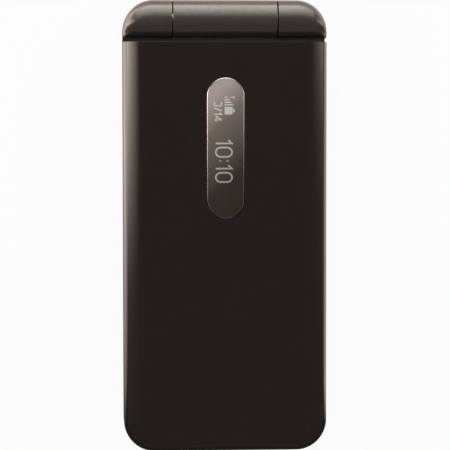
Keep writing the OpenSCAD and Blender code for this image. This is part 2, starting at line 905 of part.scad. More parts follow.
module battery_seal() {
  color([0.5, 0.5, 0.5])
    intersection() {
      envelope(cover_t);
      difference() {
        plate(0, (bay_y0 + bay_y1) / 2, bay_w + 2 * bay_wall, bay_y1 - bay_y0 + 2 * bay_wall,
          cover_t, cover_t + seal_t, 1.5);
        plate(0, (bay_y0 + bay_y1) / 2, bay_w, bay_y1 - bay_y0, 0, far, 0.8);
      }
    }
}

module port_cover() {
  clear = 0.15;
  inner_x = -body_w / 2 + wall;
  color([0.2, 0.17, 0.15]) {
    intersection() {
      envelope();
      box(-far, inner_x, port_y - port_w / 2 + clear, port_y + port_w / 2 - clear,
        port_z - port_h / 2 + clear, port_z + port_h / 2 - clear);
    }
    // Plug that presses into the socket's mouth
    box(inner_x - eps, inner_x + 0.4, port_y - 2.6, port_y + 2.2, port_z - 0.6, port_z + 0.6);
  }
}

module side_key() {
  inner_x = body_w / 2 - wall;
  color([0.3, 0.27, 0.24]) {
    intersection() {
      envelope();
      box(inner_x - 0.3, far, side_key_y - side_key_l / 2, side_key_y + side_key_l / 2,
        side_key_z - side_key_h / 2, side_key_z + side_key_h / 2);
    }
    box(inner_x - 0.7, inner_x - stop_gap, side_key_y - side_key_l / 2 - side_flange,
      side_key_y + side_key_l / 2 + side_flange,
      side_key_z - side_key_h / 2 - 0.3, side_key_z + side_key_h / 2 + 0.3);
  }
}

// ---- Keys ----

// Key with its holding flange under the deck
module key(x, y, w, l, r = key_r) {
  plate(x, y, w, l, flange_z, key_top, r);
  plate(x, y, w + 2 * key_flange, l + 2 * key_flange, flange_z, flange_top, r + key_flange);
}

module number_key(column, row) {
  color([0.16, 0.14, 0.13])
    key((column - 1) * column_pitch, first_row_y - row * row_pitch, key_w, key_l);
}

module call_row_key(column) {
  color([0.16, 0.14, 0.13])
    key((column - 1) * column_pitch, call_y, key_w, call_l);
}

module soft_key(side, up) {
  color([0.16, 0.14, 0.13])
    key(side * soft_x, ring_y + up * soft_y, soft_w, soft_l);
}

module select_key() {
  color([0.3, 0.27, 0.24])
    key(0, ring_y, select_w, select_w, 2);
}

// Gimbal frame that lets the direction ring rock both ways
module nav_web() {
  web_gap = 0.2;
  inner_w = select_w + 2 * key_flange + 2 * web_gap;
  color([0.6, 0.6, 0.6])
    difference() {
      plate(0, ring_y, web_w, web_w, flange_z, flange_z + web_t, 3);
      plate(0, ring_y, inner_w, inner_w, 0, far, 2.4);
    }
}

module nav_ring() {
  color([0.3, 0.27, 0.24])
    difference() {
      union() {
        plate(0, ring_y, ring_w, ring_w, flange_z, key_top, ring_r);
        plate(0, ring_y, ring_flange_w, ring_flange_w, flange_z, flange_z + ring_flange_t,
          ring_r + key_flange);
      }
      plate(0, ring_y, web_w + 0.5, web_w + 0.5, 0, ring_z, 3.2);
      plate(0, ring_y, ring_hole_w + 0.2, ring_hole_w + 0.2, 0, flange_top + 0.15, 2.6);
      plate(0, ring_y, select_w + 2 * key_gap, select_w + 2 * key_gap, 0, far, 2 + key_gap);
    }
}

// ---- Every piece, one node each ----

lid_cover();
lid_case();
lid_knuckle();
sub_window();
sub_display();
display_window();
main_display();
display_frame();
lid_board();
receiver();
receiver_mesh();
lid_bumpers();
lid_screws();
hinge_unit();
base_front_case();
base_rear_case();
left_knuckle_cap();
right_knuckle_cap();
hinge_shaft();
hinge_bush();
hinge_flex();
main_board();
shield_can();
dome_sheet();
key_sheet();
vibration_motor();
speaker();
camera_module();
camera_window();
flash_window();
usb_socket();
sim_socket();
battery();
base_screws();
battery_cover();
battery_seal();
port_cover();
side_key();
nav_web();
nav_ring();
select_key();
soft_key(-1, 1);  // mail_key
soft_key(-1, -1);  // camera_key
soft_key(1, 1);  // web_key
soft_key(1, -1);  // menu_key
call_row_key(0);  // call_key
call_row_key(1);  // clear_key
call_row_key(2);  // end_key
number_key(0, 0);  // key_1
number_key(1, 0);  // key_2
number_key(2, 0);  // key_3
number_key(0, 1);  // key_4
number_key(1, 1);  // key_5
number_key(2, 1);  // key_6
number_key(0, 2);  // key_7
number_key(1, 2);  // key_8
number_key(2, 2);  // key_9
number_key(0, 3);  // key_star
number_key(1, 3);  // key_0
number_key(2, 3);  // key_hash
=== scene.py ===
import json
import math

import bmesh
import bpy
import numpy as np
from mathutils import Matrix, Vector

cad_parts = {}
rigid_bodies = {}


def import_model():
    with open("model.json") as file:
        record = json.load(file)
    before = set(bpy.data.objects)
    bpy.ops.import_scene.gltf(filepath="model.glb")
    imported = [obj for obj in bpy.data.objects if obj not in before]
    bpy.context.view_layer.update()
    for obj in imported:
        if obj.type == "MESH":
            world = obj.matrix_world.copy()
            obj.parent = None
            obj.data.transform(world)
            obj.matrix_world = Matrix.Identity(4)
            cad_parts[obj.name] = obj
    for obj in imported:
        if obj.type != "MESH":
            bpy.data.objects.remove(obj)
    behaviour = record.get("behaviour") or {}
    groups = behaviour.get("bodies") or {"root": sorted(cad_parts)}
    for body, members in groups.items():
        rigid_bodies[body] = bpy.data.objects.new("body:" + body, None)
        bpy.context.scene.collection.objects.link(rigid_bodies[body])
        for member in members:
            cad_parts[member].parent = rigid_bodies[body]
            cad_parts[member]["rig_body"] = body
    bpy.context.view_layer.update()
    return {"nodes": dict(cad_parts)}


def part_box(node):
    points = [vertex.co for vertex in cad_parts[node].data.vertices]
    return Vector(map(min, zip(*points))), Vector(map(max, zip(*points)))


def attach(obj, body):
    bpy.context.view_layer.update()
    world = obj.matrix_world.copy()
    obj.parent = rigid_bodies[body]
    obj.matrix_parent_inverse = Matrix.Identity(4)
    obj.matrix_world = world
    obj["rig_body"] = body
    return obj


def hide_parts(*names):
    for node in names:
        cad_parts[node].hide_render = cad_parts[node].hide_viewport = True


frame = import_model()
mm = 0.001
print("frame loaded:", len(frame["nodes"]), "nodes")


# Lowest corner, highest corner and centre of a CAD node.
def span(node):
    low, high = (np.array(corner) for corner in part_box(node))
    return low, high, (low + high) / 2


# A screen colour from 0 to 255, made linear for the shaders.
def tone(red, green, blue):
    share = np.array([red, green, blue]) / 255
    linear = np.where(share <= 0.04045, share / 12.92, ((share + 0.055) / 1.055) ** 2.4)
    return (*linear.tolist(), 1.0)


# Camera: over the lid, leaning a little to the left and towards the hinge.
view = {
    "aim": Vector((0.06, 0.2, 12.0)) * mm,
    "distance": 520 * mm,
    "yaw": math.radians(3.5),      # to the left of the phone
    "lean": math.radians(2.8),     # towards the hinge
    "roll": math.radians(-0.07),
    "lens": 165.4, "sensor": 36, "clip": (0.01, 20),
}


# Links a camera or a lamp, with its back along the given line and its top up or towards the hinge.
def placeFacing(name, data, place, back, roll=0):
    up = Vector((0, 1, 0)) if abs(back.y) < 0.9 else Vector((0, 0, 1))
    up = (up - up.dot(back) * back).normalized()
    turn = Matrix((up.cross(back), up, back)).transposed() @ Matrix.Rotation(roll, 3, "Z")
    holder = bpy.data.objects.new(name, data)
    holder.matrix_world = Matrix.Translation(place) @ turn.to_4x4()
    bpy.context.scene.collection.objects.link(holder)
    return holder


def placeCamera():
    camera = bpy.data.cameras.new("photoCamera")
    camera.lens, camera.sensor_width = view["lens"], view["sensor"]
    camera.clip_start, camera.clip_end = view["clip"]
    back = Vector((-math.tan(view["yaw"]), math.tan(view["lean"]), 1)).normalized()
    place = view["aim"] + back * view["distance"]
    bpy.context.scene.camera = placeFacing("photoCamera", camera, place, back, view["roll"])


placeCamera()
print("camera placed")


# Fills a node's sockets: a socket among the values is linked, and any other value is set.
def feed(tree, node, sockets):
    for key, value in sockets.items():
        if isinstance(value, bpy.types.NodeSocket):
            tree.links.new(value, node.inputs[key])
        else:
            node.inputs[key].default_value = value
    return node


def addNode(tree, kind, sockets=None, **settings):
    made = tree.nodes.new("ShaderNode" + kind)
    for key, value in settings.items():
        setattr(made, key, value)
    return feed(tree, made, sockets or {})


def calc(tree, operation, *values, clamp=False):
    return addNode(tree, "Math", dict(enumerate(values)), operation=operation,
                   use_clamp=clamp).outputs[0]


def product(tree, first, *others):
    for other in others:
        first = calc(tree, "MULTIPLY", first, other)
    return first


def vectorCalc(tree, operation, first, second):
    return addNode(tree, "VectorMath", {0: first, 1: second}, operation=operation).outputs[0]


def scaled(tree, vector, size):
    return addNode(tree, "VectorMath", {0: vector, "Scale": size}, operation="SCALE").outputs[0]


def blendTone(tree, share, first, second):
    return addNode(tree, "Mix", {0: share, 6: first, 7: second}, data_type="RGBA").outputs[2]


def objectPlace(tree):
    return addNode(tree, "TexCoord").outputs["Object"]


def split(tree, vector):
    return addNode(tree, "SeparateXYZ", {0: vector}).outputs


# A value's way from low to high, as a share that stays within first and last.
def fade(tree, value, low, high, first=0.0, last=1.0):
    return addNode(tree, "MapRange", {0: value, 1: low, 2: high, 3: first, 4: last}).outputs[0]


# Smooth step of a value from low to high, as a share from 0 to 1.
def ramp(tree, value, low, high):
    return addNode(tree, "MapRange", {0: value, 1: low, 2: high},
                   interpolation_type="SMOOTHSTEP").outputs[0]


def newMaterial(name):
    material = bpy.data.materials.new(name)
    material.use_nodes = True
    return material, material.node_tree, material.node_tree.nodes["Principled BSDF"]


def newGroup(name, inputs, outputs):
    group = bpy.data.node_groups.new(name, "ShaderNodeTree")
    for label, value in inputs.items():
        socket = group.interface.new_socket(label, in_out="INPUT", socket_type="NodeSocketFloat")
        socket.default_value = value
    for label in outputs:
        group.interface.new_socket(label, in_out="OUTPUT", socket_type="NodeSocketFloat")
    return group, group.nodes.new("NodeGroupInput").outputs, group.nodes.new("NodeGroupOutput")


# Noise levels between which wear and smears set in, and the reach of the worn edge. Dust lies near
# a cell's middle, where the cell's lot and the patch add up to more than the last number.
patterns = {
    "wearBreak": (0.42, 0.62), "wearReach": 0.06, "smudgeBreak": (0.48, 0.72),
    "patchScale": 60.0, "dustReach": 0.16, "dustFrom": 1.3,
}


# Fine grain of moulded or sprayed plastic: a height, and bright flakes here and there.
def makeGrainGroup():
    group, given, result = newGroup("surfaceGrain", {"Scale": 9000.0, "Flakes": 0.2}, ["Height", "Flake"])
    place = objectPlace(group)
    noise = addNode(group, "TexNoise", {"Vector": place, "Scale": given["Scale"], "Detail": 3.0})
    cells = addNode(group, "TexVoronoi", {"Vector": place, "Scale": given["Scale"]})
    speck = addNode(group, "SeparateColor", {0: cells.outputs["Color"]}).outputs[0]
    edge = calc(group, "SUBTRACT", 1.0, given["Flakes"])
    flake = calc(group, "GREATER_THAN", speck, edge)
    feed(group, result, {"Height": noise.outputs[0], "Flake": flake})
    return group


# Wear on convex edges, broken up by noise.
def makeWearGroup():
    group, given, result = newGroup("edgeWear", {"Amount": 0.5, "Start": 0.53, "Scale": 900.0}, ["Mask"])
    bend = addNode(group, "NewGeometry").outputs["Pointiness"]
    noise = addNode(group, "TexNoise", {"Vector": objectPlace(group), "Scale": given["Scale"], "Detail": 4.0})
    broken = ramp(group, noise.outputs[0], *patterns["wearBreak"])
    edge = ramp(group, bend, given["Start"], calc(group, "ADD", given["Start"], patterns["wearReach"]))
    feed(group, result, {"Mask": product(group, edge, broken, given["Amount"])})
    return group


# Sparse dust specks, thicker in some places than in others.
def makeDustGroup():
    group, given, result = newGroup("dustSpecks", {"Amount": 0.3, "Scale": 1500.0}, ["Mask"])
    place = objectPlace(group)
    cells = addNode(group, "TexVoronoi", {"Vector": place, "Scale": given["Scale"]})
    lot = addNode(group, "SeparateColor", {0: cells.outputs["Color"]}).outputs[1]
    patch = addNode(group, "TexNoise", {"Vector": place, "Scale": patterns["patchScale"],
                                        "Detail": 2.0}).outputs[0]
    near = calc(group, "LESS_THAN", cells.outputs["Distance"], product(group, lot, patterns["dustReach"]))
    rare = calc(group, "GREATER_THAN", calc(group, "ADD", lot, patch), patterns["dustFrom"])
    feed(group, result, {"Mask": product(group, near, rare, given["Amount"])})
    return group


# Faint smears that dull the gloss where a hand has been.
def makeSmudgeGroup():
    group, given, result = newGroup("handSmudge", {"Amount": 0.5, "Scale": 45.0}, ["Mask"])
    noise = addNode(group, "TexNoise", {"Vector": objectPlace(group), "Scale": given["Scale"],
                                        "Detail": 5.0, "Distortion": 1.6})
    smear = ramp(group, noise.outputs[0], *patterns["smudgeBreak"])
    feed(group, result, {"Mask": product(group, smear, given["Amount"])})
    return group


grainGroup = makeGrainGroup()
wearGroup = makeWearGroup()
dustGroup = makeDustGroup()
smudgeGroup = makeSmudgeGroup()


def useGroup(tree, group, **values):
    made = tree.nodes.new("ShaderNodeGroup")
    made.node_tree = group
    return feed(tree, made, values).outputs


dustTone = tone(150, 146, 140)

# What most finishes start from, and the plain prints. Each finish below names only what differs, and
# gives the tones of its base, its flakes and its worn edges.
plainLook = {
    "tones": [(60, 56, 52), (80, 76, 70), (110, 100, 92)], "grainScale": 9000.0, "flakes": 0.2,
    "flakeShare": 0.6, "bump": 0.05, "bumpDepth": 0.02 * mm, "wear": 0.4, "wearStart": 0.53,
    "dust": 0.25, "smudge": 0.08, "roughness": 0.4, "dustRough": 0.4, "grainRough": 0.08, "shader": {},
}
printLook = {"flakes": 0.1, "bump": 0.02, "wear": 0.0, "dust": 0.0, "roughness": 0.45}

finishLooks = {
    "lidGloss": {
        "tones": [(31, 26, 23), (46, 38, 33), (84, 74, 66)], "flakes": 0.12, "bump": 0.015, "wear": 0.2,
        "wearStart": 0.56, "dust": 0.12, "smudge": 0.05, "roughness": 0.2,
        "shader": {"Metallic": 0.35, "Coat Weight": 1.0, "Coat Roughness": 0.04},
    },
    "barrelMetal": {
        "tones": [(88, 85, 82), (112, 108, 104), (150, 144, 138)], "flakes": 0.3, "dust": 0.15,
        "smudge": 0.06, "roughness": 0.3,
        "shader": {"Metallic": 0.74, "Coat Weight": 0.4, "Coat Roughness": 0.15},
    },
    "casePaint": {
        "tones": [(44, 39, 36), (60, 54, 50), (96, 88, 80)], "bump": 0.04, "wear": 0.12, "dust": 0.12,
        "roughness": 0.34, "shader": {"Metallic": 0.3, "Coat Weight": 0.3, "Coat Roughness": 0.2},
    },
    "caseMetal": {
        "tones": [(84, 75, 67), (108, 97, 88), (150, 138, 126)], "flakes": 0.3, "bump": 0.06,
        "wear": 0.15, "dust": 0.1, "roughness": 0.34,
        "shader": {"Metallic": 0.75, "Coat Weight": 0.3, "Coat Roughness": 0.2},
    },
    "backPlastic": {
        "tones": [(44, 38, 34), (58, 51, 46), (86, 78, 71)], "grainScale": 6000.0, "flakes": 0.25,
        "bump": 0.12, "wear": 0.14, "dust": 0.3, "roughness": 0.45,
    },
    "keyPlastic": {
        "tones": [(48, 43, 39), (60, 54, 49), (80, 73, 66)], "flakes": 0.15, "bump": 0.04, "wear": 0.35,
        "smudge": 0.16, "roughness": 0.24, "shader": {"Coat Weight": 0.5, "Coat Roughness": 0.08},
    },
    "ringMetal": {
        "tones": [(146, 134, 122), (170, 158, 146), (200, 190, 178)], "flakes": 0.35, "roughness": 0.3,
        "shader": {"Metallic": 0.85},
    },
    "blackPlastic": {
        "tones": [(26, 25, 25), (34, 33, 33), (60, 58, 56)], "bump": 0.1, "roughness": 0.5,
    },
    "rubber": {
        "tones": [(30, 29, 28), (38, 37, 36), (52, 50, 48)], "grainScale": 5000.0, "bump": 0.16,
        "dust": 0.5, "roughness": 0.75, "shader": {"Specular IOR Level": 0.3},
    },
    "steel": {
        "tones": [(172, 172, 174), (188, 188, 190), (214, 214, 214)], "dust": 0.1, "roughness": 0.28,
        "shader": {"Metallic": 1.0},
    },
    "darkBrass": {
        "tones": [(68, 57, 41), (80, 68, 50), (104, 88, 60)], "wear": 0.1, "roughness": 0.5,
        "shader": {"Metallic": 0.8},
    },
    "domeFilm": {
        "tones": [(196, 164, 96), (206, 178, 112), (214, 190, 140)], "flakes": 0.1, "bump": 0.03,
        "wear": 0.2, "roughness": 0.3,
    },
    "keyRubber": {
        "tones": [(196, 196, 192), (206, 206, 202), (216, 216, 212)], "bump": 0.08, "wear": 0.2,
        "roughness": 0.6, "shader": {"Subsurface Weight": 0.1, "Subsurface Scale": 0.4 * mm},
    },
    "flashLens": {
        "tones": [(226, 222, 204), (240, 238, 226), (240, 240, 236)], "grainScale": 2500.0, "bump": 0.4,
        "bumpDepth": 0.1 * mm, "roughness": 0.16,
        "shader": {"Coat Weight": 1.0, "Coat Roughness": 0.05},
    },
    "cell": {
        "tones": [(58, 60, 64), (70, 72, 76), (120, 120, 122)], "bump": 0.03, "smudge": 0.12,
        "roughness": 0.42,
    },
    "printGrey": {**printLook, "tones": [(206, 202, 196), (214, 211, 206), (190, 186, 180)]},
    "printGreen": {**printLook, "tones": [(72, 172, 92), (86, 182, 104), (70, 150, 84)]},
    "printRed": {**printLook, "tones": [(206, 62, 52), (214, 78, 66), (180, 60, 50)]},
}


# Base colour with flakes, worn edges and dust, a roughness with smudges, and grain as a bump.
# A given shade takes the place of the base colour and its flakes.
def makeFinish(name, look, shade=None):
    look = {**plainLook, **look}
    base, flake, worn = (tone(*each) for each in look["tones"])
    material, tree, shader = newMaterial(name)
    grain = useGroup(tree, grainGroup, Scale=look["grainScale"], Flakes=look["flakes"])
    wear = useGroup(tree, wearGroup, Amount=look["wear"], Start=look["wearStart"])["Mask"]
    dust = useGroup(tree, dustGroup, Amount=look["dust"])["Mask"]
    smudge = useGroup(tree, smudgeGroup, Amount=look["smudge"])["Mask"]
    if shade:
        colour = shade(tree)
    else:
        colour = blendTone(tree, product(tree, grain["Flake"], look["flakeShare"]), base, flake)
    colour = blendTone(tree, dust, blendTone(tree, wear, colour, worn), dustTone)
    dulled = calc(tree, "ADD", product(tree, dust, look["dustRough"]), smudge)
    rough = calc(tree, "ADD", product(tree, grain["Height"], look["grainRough"]),
                 look["roughness"] - look["grainRough"] / 2)
    bump = addNode(tree, "Bump", {"Strength": look["bump"], "Distance": look["bumpDepth"],
                                  "Height": grain["Height"]})
    feed(tree, shader, {"Base Color": colour, "Roughness": calc(tree, "ADD", rough, dulled, clamp=True),
                        "Normal": bump.outputs[0], **look["shader"]})
    return material


finishes = {name: makeFinish(name, look) for name, look in finishLooks.items()}

# Half-mirrored outer window, its colour a painted reflection: silver at its hinge end, fading to dark bronze.
windowLook = {
    "slant": -0.9,
    "stops": [(0.04, tone(49, 45, 37)), (0.26, tone(60, 52, 48)), (0.4, tone(93, 82, 76)),
              (0.55, tone(113, 104, 98)), (0.7, tone(137, 122, 115)), (0.95, tone(206, 189, 185))],
    "look": {"bump": 0.01, "dust": 0.1, "smudge": 0.04, "wear": 0.0, "roughness": 0.22,
             "shader": {"Metallic": 0.25, "Coat Weight": 1.0, "Coat Roughness": 0.03}},
    # Ends of the rim's painted reflection, from its tail end to its hinge end.
    "rimPaintedSheenEnds": (tone(60, 57, 55), tone(196, 188, 182)),
    "rimLook": {"tones": [(60, 56, 52), (80, 76, 70), (150, 144, 140)], "wear": 0.1, "dust": 0.05,
                "bump": 0.02, "roughness": 0.18, "shader": {"Metallic": 1.0}},
}


# Share of the way from the window's tail end to its hinge end, along a slanting line, which grades the
# painted reflections on the window, its rim and its readout.
def windowShare(tree):
    low, high, _ = span("sub_window")
    x, y, _ = split(tree, objectPlace(tree))
    along = calc(tree, "MULTIPLY_ADD", x, windowLook["slant"], y)
    return fade(tree, along, float(low[1]), float(high[1]))


# Painted reflection in the window's colour, graded along the slanting line from its tail end to its hinge
# end.
def windowShade(tree):
    scale = addNode(tree, "ValToRGB", {0: windowShare(tree)})
    stops = scale.color_ramp.elements
    stops[0].position, stops[0].color = windowLook["stops"][0]
    stops[1].position, stops[1].color = windowLook["stops"][-1]
    for position, colour in windowLook["stops"][1:-1]:
        stops.new(position).color = colour
    return scale.outputs[0]


# Painted reflection on the window's rim: dark at its tail end, bright at its hinge end.
def rimShade(tree):
    return blendTone(tree, windowShare(tree), *windowLook["rimPaintedSheenEnds"])


finishes["pillWindow"] = makeFinish("pillWindow", windowLook["look"], windowShade)
finishes["windowRim"] = makeFinish("windowRim", windowLook["rimLook"], rimShade)

# Circuit board: green lacquer over copper runs, with bright pads.
boardLook = {
    "lacquer": tone(22, 74, 44), "runTone": tone(36, 104, 62), "padTone": tone(202, 176, 108),
    "runScale": 420.0, "runWidth": 0.05, "padScale": 700.0, "padReach": 0.22, "padFrom": 0.7,
    "look": {"tones": [(60, 56, 52), (80, 76, 70), (90, 130, 90)], "roughness": 0.3, "wear": 0.2,
             "bump": 0.04},
}


def boardShade(tree):
    place = objectPlace(tree)
    bricks = addNode(tree, "TexBrick", {
        "Vector": place, "Scale": boardLook["runScale"], "Mortar Size": boardLook["runWidth"],
        "Color1": (0, 0, 0, 1), "Color2": (0, 0, 0, 1), "Mortar": (1, 1, 1, 1)})
    runs = blendTone(tree, bricks.outputs["Fac"], boardLook["lacquer"], boardLook["runTone"])
    cells = addNode(tree, "TexVoronoi", {"Vector": place, "Scale": boardLook["padScale"]})
    pads = calc(tree, "LESS_THAN", cells.outputs["Distance"], boardLook["padReach"])
    lot = addNode(tree, "SeparateColor", {0: cells.outputs["Color"]}).outputs[0]
    some = product(tree, pads, calc(tree, "GREATER_THAN", lot, boardLook["padFrom"]))
    return blendTone(tree, some, runs, boardLook["padTone"])


finishes["circuit"] = makeFinish("circuit", boardLook["look"], boardShade)

# Woven mesh over the earpiece.
meshLook = {
    "thread": tone(120, 118, 116), "gap": tone(24, 23, 22), "pitch": 0.25 * mm, "gapEdge": (0.45, 0.6),
    "look": {"roughness": 0.35, "bump": 0.1, "shader": {"Metallic": 0.7}},
}


def meshShade(tree):
    turn = math.pi / meshLook["pitch"]
    waves = [calc(tree, "ABSOLUTE", calc(tree, "SINE", product(tree, axis, turn)))
             for axis in split(tree, objectPlace(tree))[:2]]
    hole = ramp(tree, product(tree, *waves), *meshLook["gapEdge"])
    return blendTone(tree, hole, meshLook["thread"], meshLook["gap"])


finishes["earMesh"] = makeFinish("earMesh", meshLook["look"], meshShade)


# Clear window with plain transmission: smudges and dust change only its colour and its roughness.
def makeGlass(name, tint, roughness=0.02):
    material, tree, shader = newMaterial(name)
    smudge = useGroup(tree, smudgeGroup, Amount=0.05)["Mask"]
    dust = useGroup(tree, dustGroup, Amount=0.3)["Mask"]
    rough = calc(tree, "ADD", calc(tree, "ADD", smudge, dust), roughness)
    feed(tree, shader, {"Transmission Weight": 1.0, "IOR": 1.49, "Roughness": rough,
                        "Base Color": blendTone(tree, dust, tint, dustTone)})
    return material


finishes["displayGlass"] = makeGlass("displayGlass", tone(222, 222, 224))
finishes["lensGlass"] = makeGlass("lensGlass", tone(90, 84, 96))
print("finishes made:", len(finishes))


# Skin over a stack of closed loops of points. Rows are the loops, columns go round each, and each
# cell of the grid is one face. The two end loops are capped, or joined to each other.
def loft(loops, joined=False):
    loops = np.asarray(loops, float)
    rows, columns = loops.shape[:2]
    index = np.arange(rows * columns).reshape(rows, columns)
    first = index if joined else index[:-1]
    second = np.roll(index, -1, axis=0) if joined else index[1:]
    cells = np.stack([first, np.roll(first, -1, 1), np.roll(second, -1, 1), second], -1)
    faces = cells.reshape(-1, 4).tolist()
    if not joined:
        faces += [index[0, ::-1].tolist(), index[-1].tolist()]
    return loops.reshape(-1, 3), faces


def joinParts(parts):
    counts = np.cumsum([0] + [len(points) for points, faces in parts])
    points = np.concatenate([points for points, faces in parts])
    faces = [[int(start) + corner for corner in face]
             for start, (_, some) in zip(counts, parts) for face in some]
    return points, faces


# The same part seen in a mirror across the plane x = 0, with its faces turned to point outwards.
def mirrored(part):
    points, faces = part
    return points * [-1, 1, 1], [face[::-1] for face in faces]


# Reach within which points are merged, in built pieces and in copied CAD meshes, and the bend below
# which the CAD's triangles make one flat area.
meshCare = {"weld": 0.0005 * mm, "nodeWeld": 0.001 * mm, "flat": math.radians(0.15)}


def addPiece(name, part, body, finish, replaces=(), edge=None, smoothAngle=35):
    mesh = bpy.data.meshes.new(name)
    if isinstance(part, bmesh.types.BMesh):
        work = part
    else:
        mesh.from_pydata(part[0].tolist(), [], part[1])
        work = bmesh.new()
        work.from_mesh(mesh)
    bmesh.ops.remove_doubles(work, verts=work.verts, dist=meshCare["weld"])
    work.to_mesh(mesh)
    work.free()
    if "custom_normal" in mesh.attributes:
        mesh.attributes.remove(mesh.attributes["custom_normal"])
    mesh.shade_smooth()
    mesh.set_sharp_from_angle(angle=math.radians(smoothAngle))
    mesh.materials.clear()
    mesh.materials.append(finishes[finish])
    piece = bpy.data.objects.new(name, mesh)
    bpy.context.scene.collection.objects.link(piece)
    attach(piece, body)
    if replaces:
        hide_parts(*replaces)
    if edge:
        bevel = piece.modifiers.new("softEdge", "BEVEL")
        bevel.width = edge
        bevel.segments = 2
        bevel.limit_method = "ANGLE"
        bevel.angle_limit = math.radians(smoothAngle)
        even = piece.modifiers.new("evenShading", "WEIGHTED_NORMAL")
        even.keep_sharp = True


# Rounded rectangle, walked anticlockwise from its lower right corner: each corner is a quarter
# circle about the point that lies the radius inside both sides.
def roundedLoop(centre, width, length, radius, height, steps=8):
    quarter = np.linspace(0, 1, steps + 1)
    turn = (np.arange(4)[:, None] - 1 + quarter) * math.pi / 2
    side = np.array([[1, -1], [1, 1], [-1, 1], [-1, -1]])[:, None, :]
    x = centre[0] + side[..., 0] * (width / 2 - radius) + radius * np.cos(turn)
    y = centre[1] + side[..., 1] * (length / 2 - radius) + radius * np.sin(turn)
    return np.stack([x, y, np.full_like(x, height)], -1).reshape(-1, 3)


# Rounded rectangles at rising inset and height, lofted: each profile row is (inset, height).
def plateLoops(centre, width, length, radius, profile, steps=8):
    return [roundedLoop(centre, width - 2 * inset, length - 2 * inset,
                        max(radius - inset, 0.02 * mm), height, steps)
            for inset, height in profile]


# Lid cover: glossy shell with its long edges and tail edge rounded, and the pill-shaped opening.
lidCover = {
    "cornerRadius": 7.7 * mm, "wall": 1.2 * mm, "sideReach": 4.2 * mm, "sideDrop": 3.6 * mm,
    "tailReach": 3.6 * mm, "tailDrop": 3.2 * mm, "ledge": 0.65 * mm, "ledgeDepth": 0.7 * mm,
    "openingGap": 0.05 * mm, "edge": 0.3 * mm,
    "sideSteps": 24, "endSteps": 60, "cornerSteps": 20, "tailSteps": 16, "roundSteps": 14,
    "flatShares": [0.04, 0.5, 0.96],
}


# Outline seen from above: up the right side, along the straight hinge end, down the left side, round a
# quarter circle, along the tail and round another. Each point has the direction it is inset against;
# along the hinge end that direction only scales x, so the end stays straight.
def lidOutline(look, low, high):
    side, corner = high[0], look["cornerRadius"]
    endY, tailY = high[1], low[1]
    rise = np.linspace(tailY + corner, endY, look["sideSteps"])
    across = np.linspace(1, -1, look["endSteps"])[1:-1]
    turn = np.linspace(0, math.pi / 2, look["cornerSteps"])[1:-1]
    cos, sin = np.cos(turn), np.sin(turn)
    tail = np.linspace(-1, 1, look["tailSteps"])
    stretches = [
        (side, rise, 1, 0), (across * side, endY, across, 0), (-side, rise[::-1], -1, 0),
        (corner - side - corner * cos, tailY + corner - corner * sin, -cos, -sin),
        (tail * (side - corner), tailY, 0, -1),
        (side - corner + corner * sin, tailY + corner - corner * cos, sin, -cos),
    ]
    points = np.concatenate([np.stack(np.broadcast_arrays(*each), -1) for each in stretches])
    return points[:, :2], points[:, 2:]


# Point of a pill's outline on the ray from its centre through each given point: on the straight
# side where the ray meets it, and otherwise on the half circle at the pill's end.
def pillLoop(points, centre, width, length, height):
    ray = points - centre[:2]
    ray = ray / np.linalg.norm(ray, axis=1, keepdims=True)
    radius, middle = width / 2, (length - width) / 2
    across, along = np.abs(ray[:, 0]), np.abs(ray[:, 1])
    sideReach = radius / np.maximum(across, 1e-9)
    onSide = sideReach * along <= middle
    inside = np.maximum(radius ** 2 - (middle * across) ** 2, 0)
    reach = np.where(onSide, sideReach, middle * along + np.sqrt(inside))
    return atHeight(centre[:2] + ray * reach[:, None], height)


# One loop of the shell: a point of a quarter ellipse, which reaches in from the outline and drops
# from the top. Its reach and drop go from the side's to the tail's as the outline faces the tail.
def shellLoop(outline, against, look, top, turn, inward, endShift):
    facingTail = against[:, 1] ** 2
    reach = look["sideReach"] * (1 - facingTail) + look["tailReach"] * facingTail - inward
    drop = look["sideDrop"] * (1 - facingTail) + look["tailDrop"] * facingTail - inward
    inset = inward + reach * (1 - math.cos(turn))
    flat = outline - against * inset[:, None]
    atEnd = outline[:, 1] > outline[:, 1].max() - 1e-6
    flat[atEnd, 1] -= endShift
    return np.column_stack([flat, top - drop * (1 - math.sin(turn))])


def atHeight(loop, height):
    return np.column_stack([loop[:, :2], np.full(len(loop), height)])


def makeLidCover():
    look = lidCover
    low, high, _ = span("lid_cover")
    windowLow, windowHigh, windowCentre = span("sub_window")
    windowSize = (windowHigh - windowLow)[:2] + 2 * look["openingGap"]
    outline, against = lidOutline(look, low, high)
    turns = np.linspace(0, math.pi / 2, look["roundSteps"])
    wall, ceilingZ = look["wall"], high[2] - look["wall"]
    outer = [shellLoop(outline, against, look, high[2], turn, 0, 0) for turn in turns]
    inside = [shellLoop(outline, against, look, ceilingZ, turn, wall, wall) for turn in turns[::-1]]
    opening = pillLoop(outline, windowCentre, *windowSize, high[2])
    flat = [outer[-1] + (opening - outer[-1]) * share for share in look["flatShares"]]
    lowered = opening - [0, 0, look["ledgeDepth"]]
    ledge = pillLoop(outline, windowCentre, *(windowSize - 2 * look["ledge"]), lowered[0, 2])
    loops = [atHeight(outer[0], low[2]), *outer, *flat, opening, lowered, ledge,
             atHeight(ledge, ceilingZ), *inside, atHeight(inside[-1], low[2])]
    addPiece("lidCover", loft(loops, joined=True), "lid", "lidGloss",
             ["lid_cover"], edge=look["edge"])


makeLidCover()
print("lid cover made")

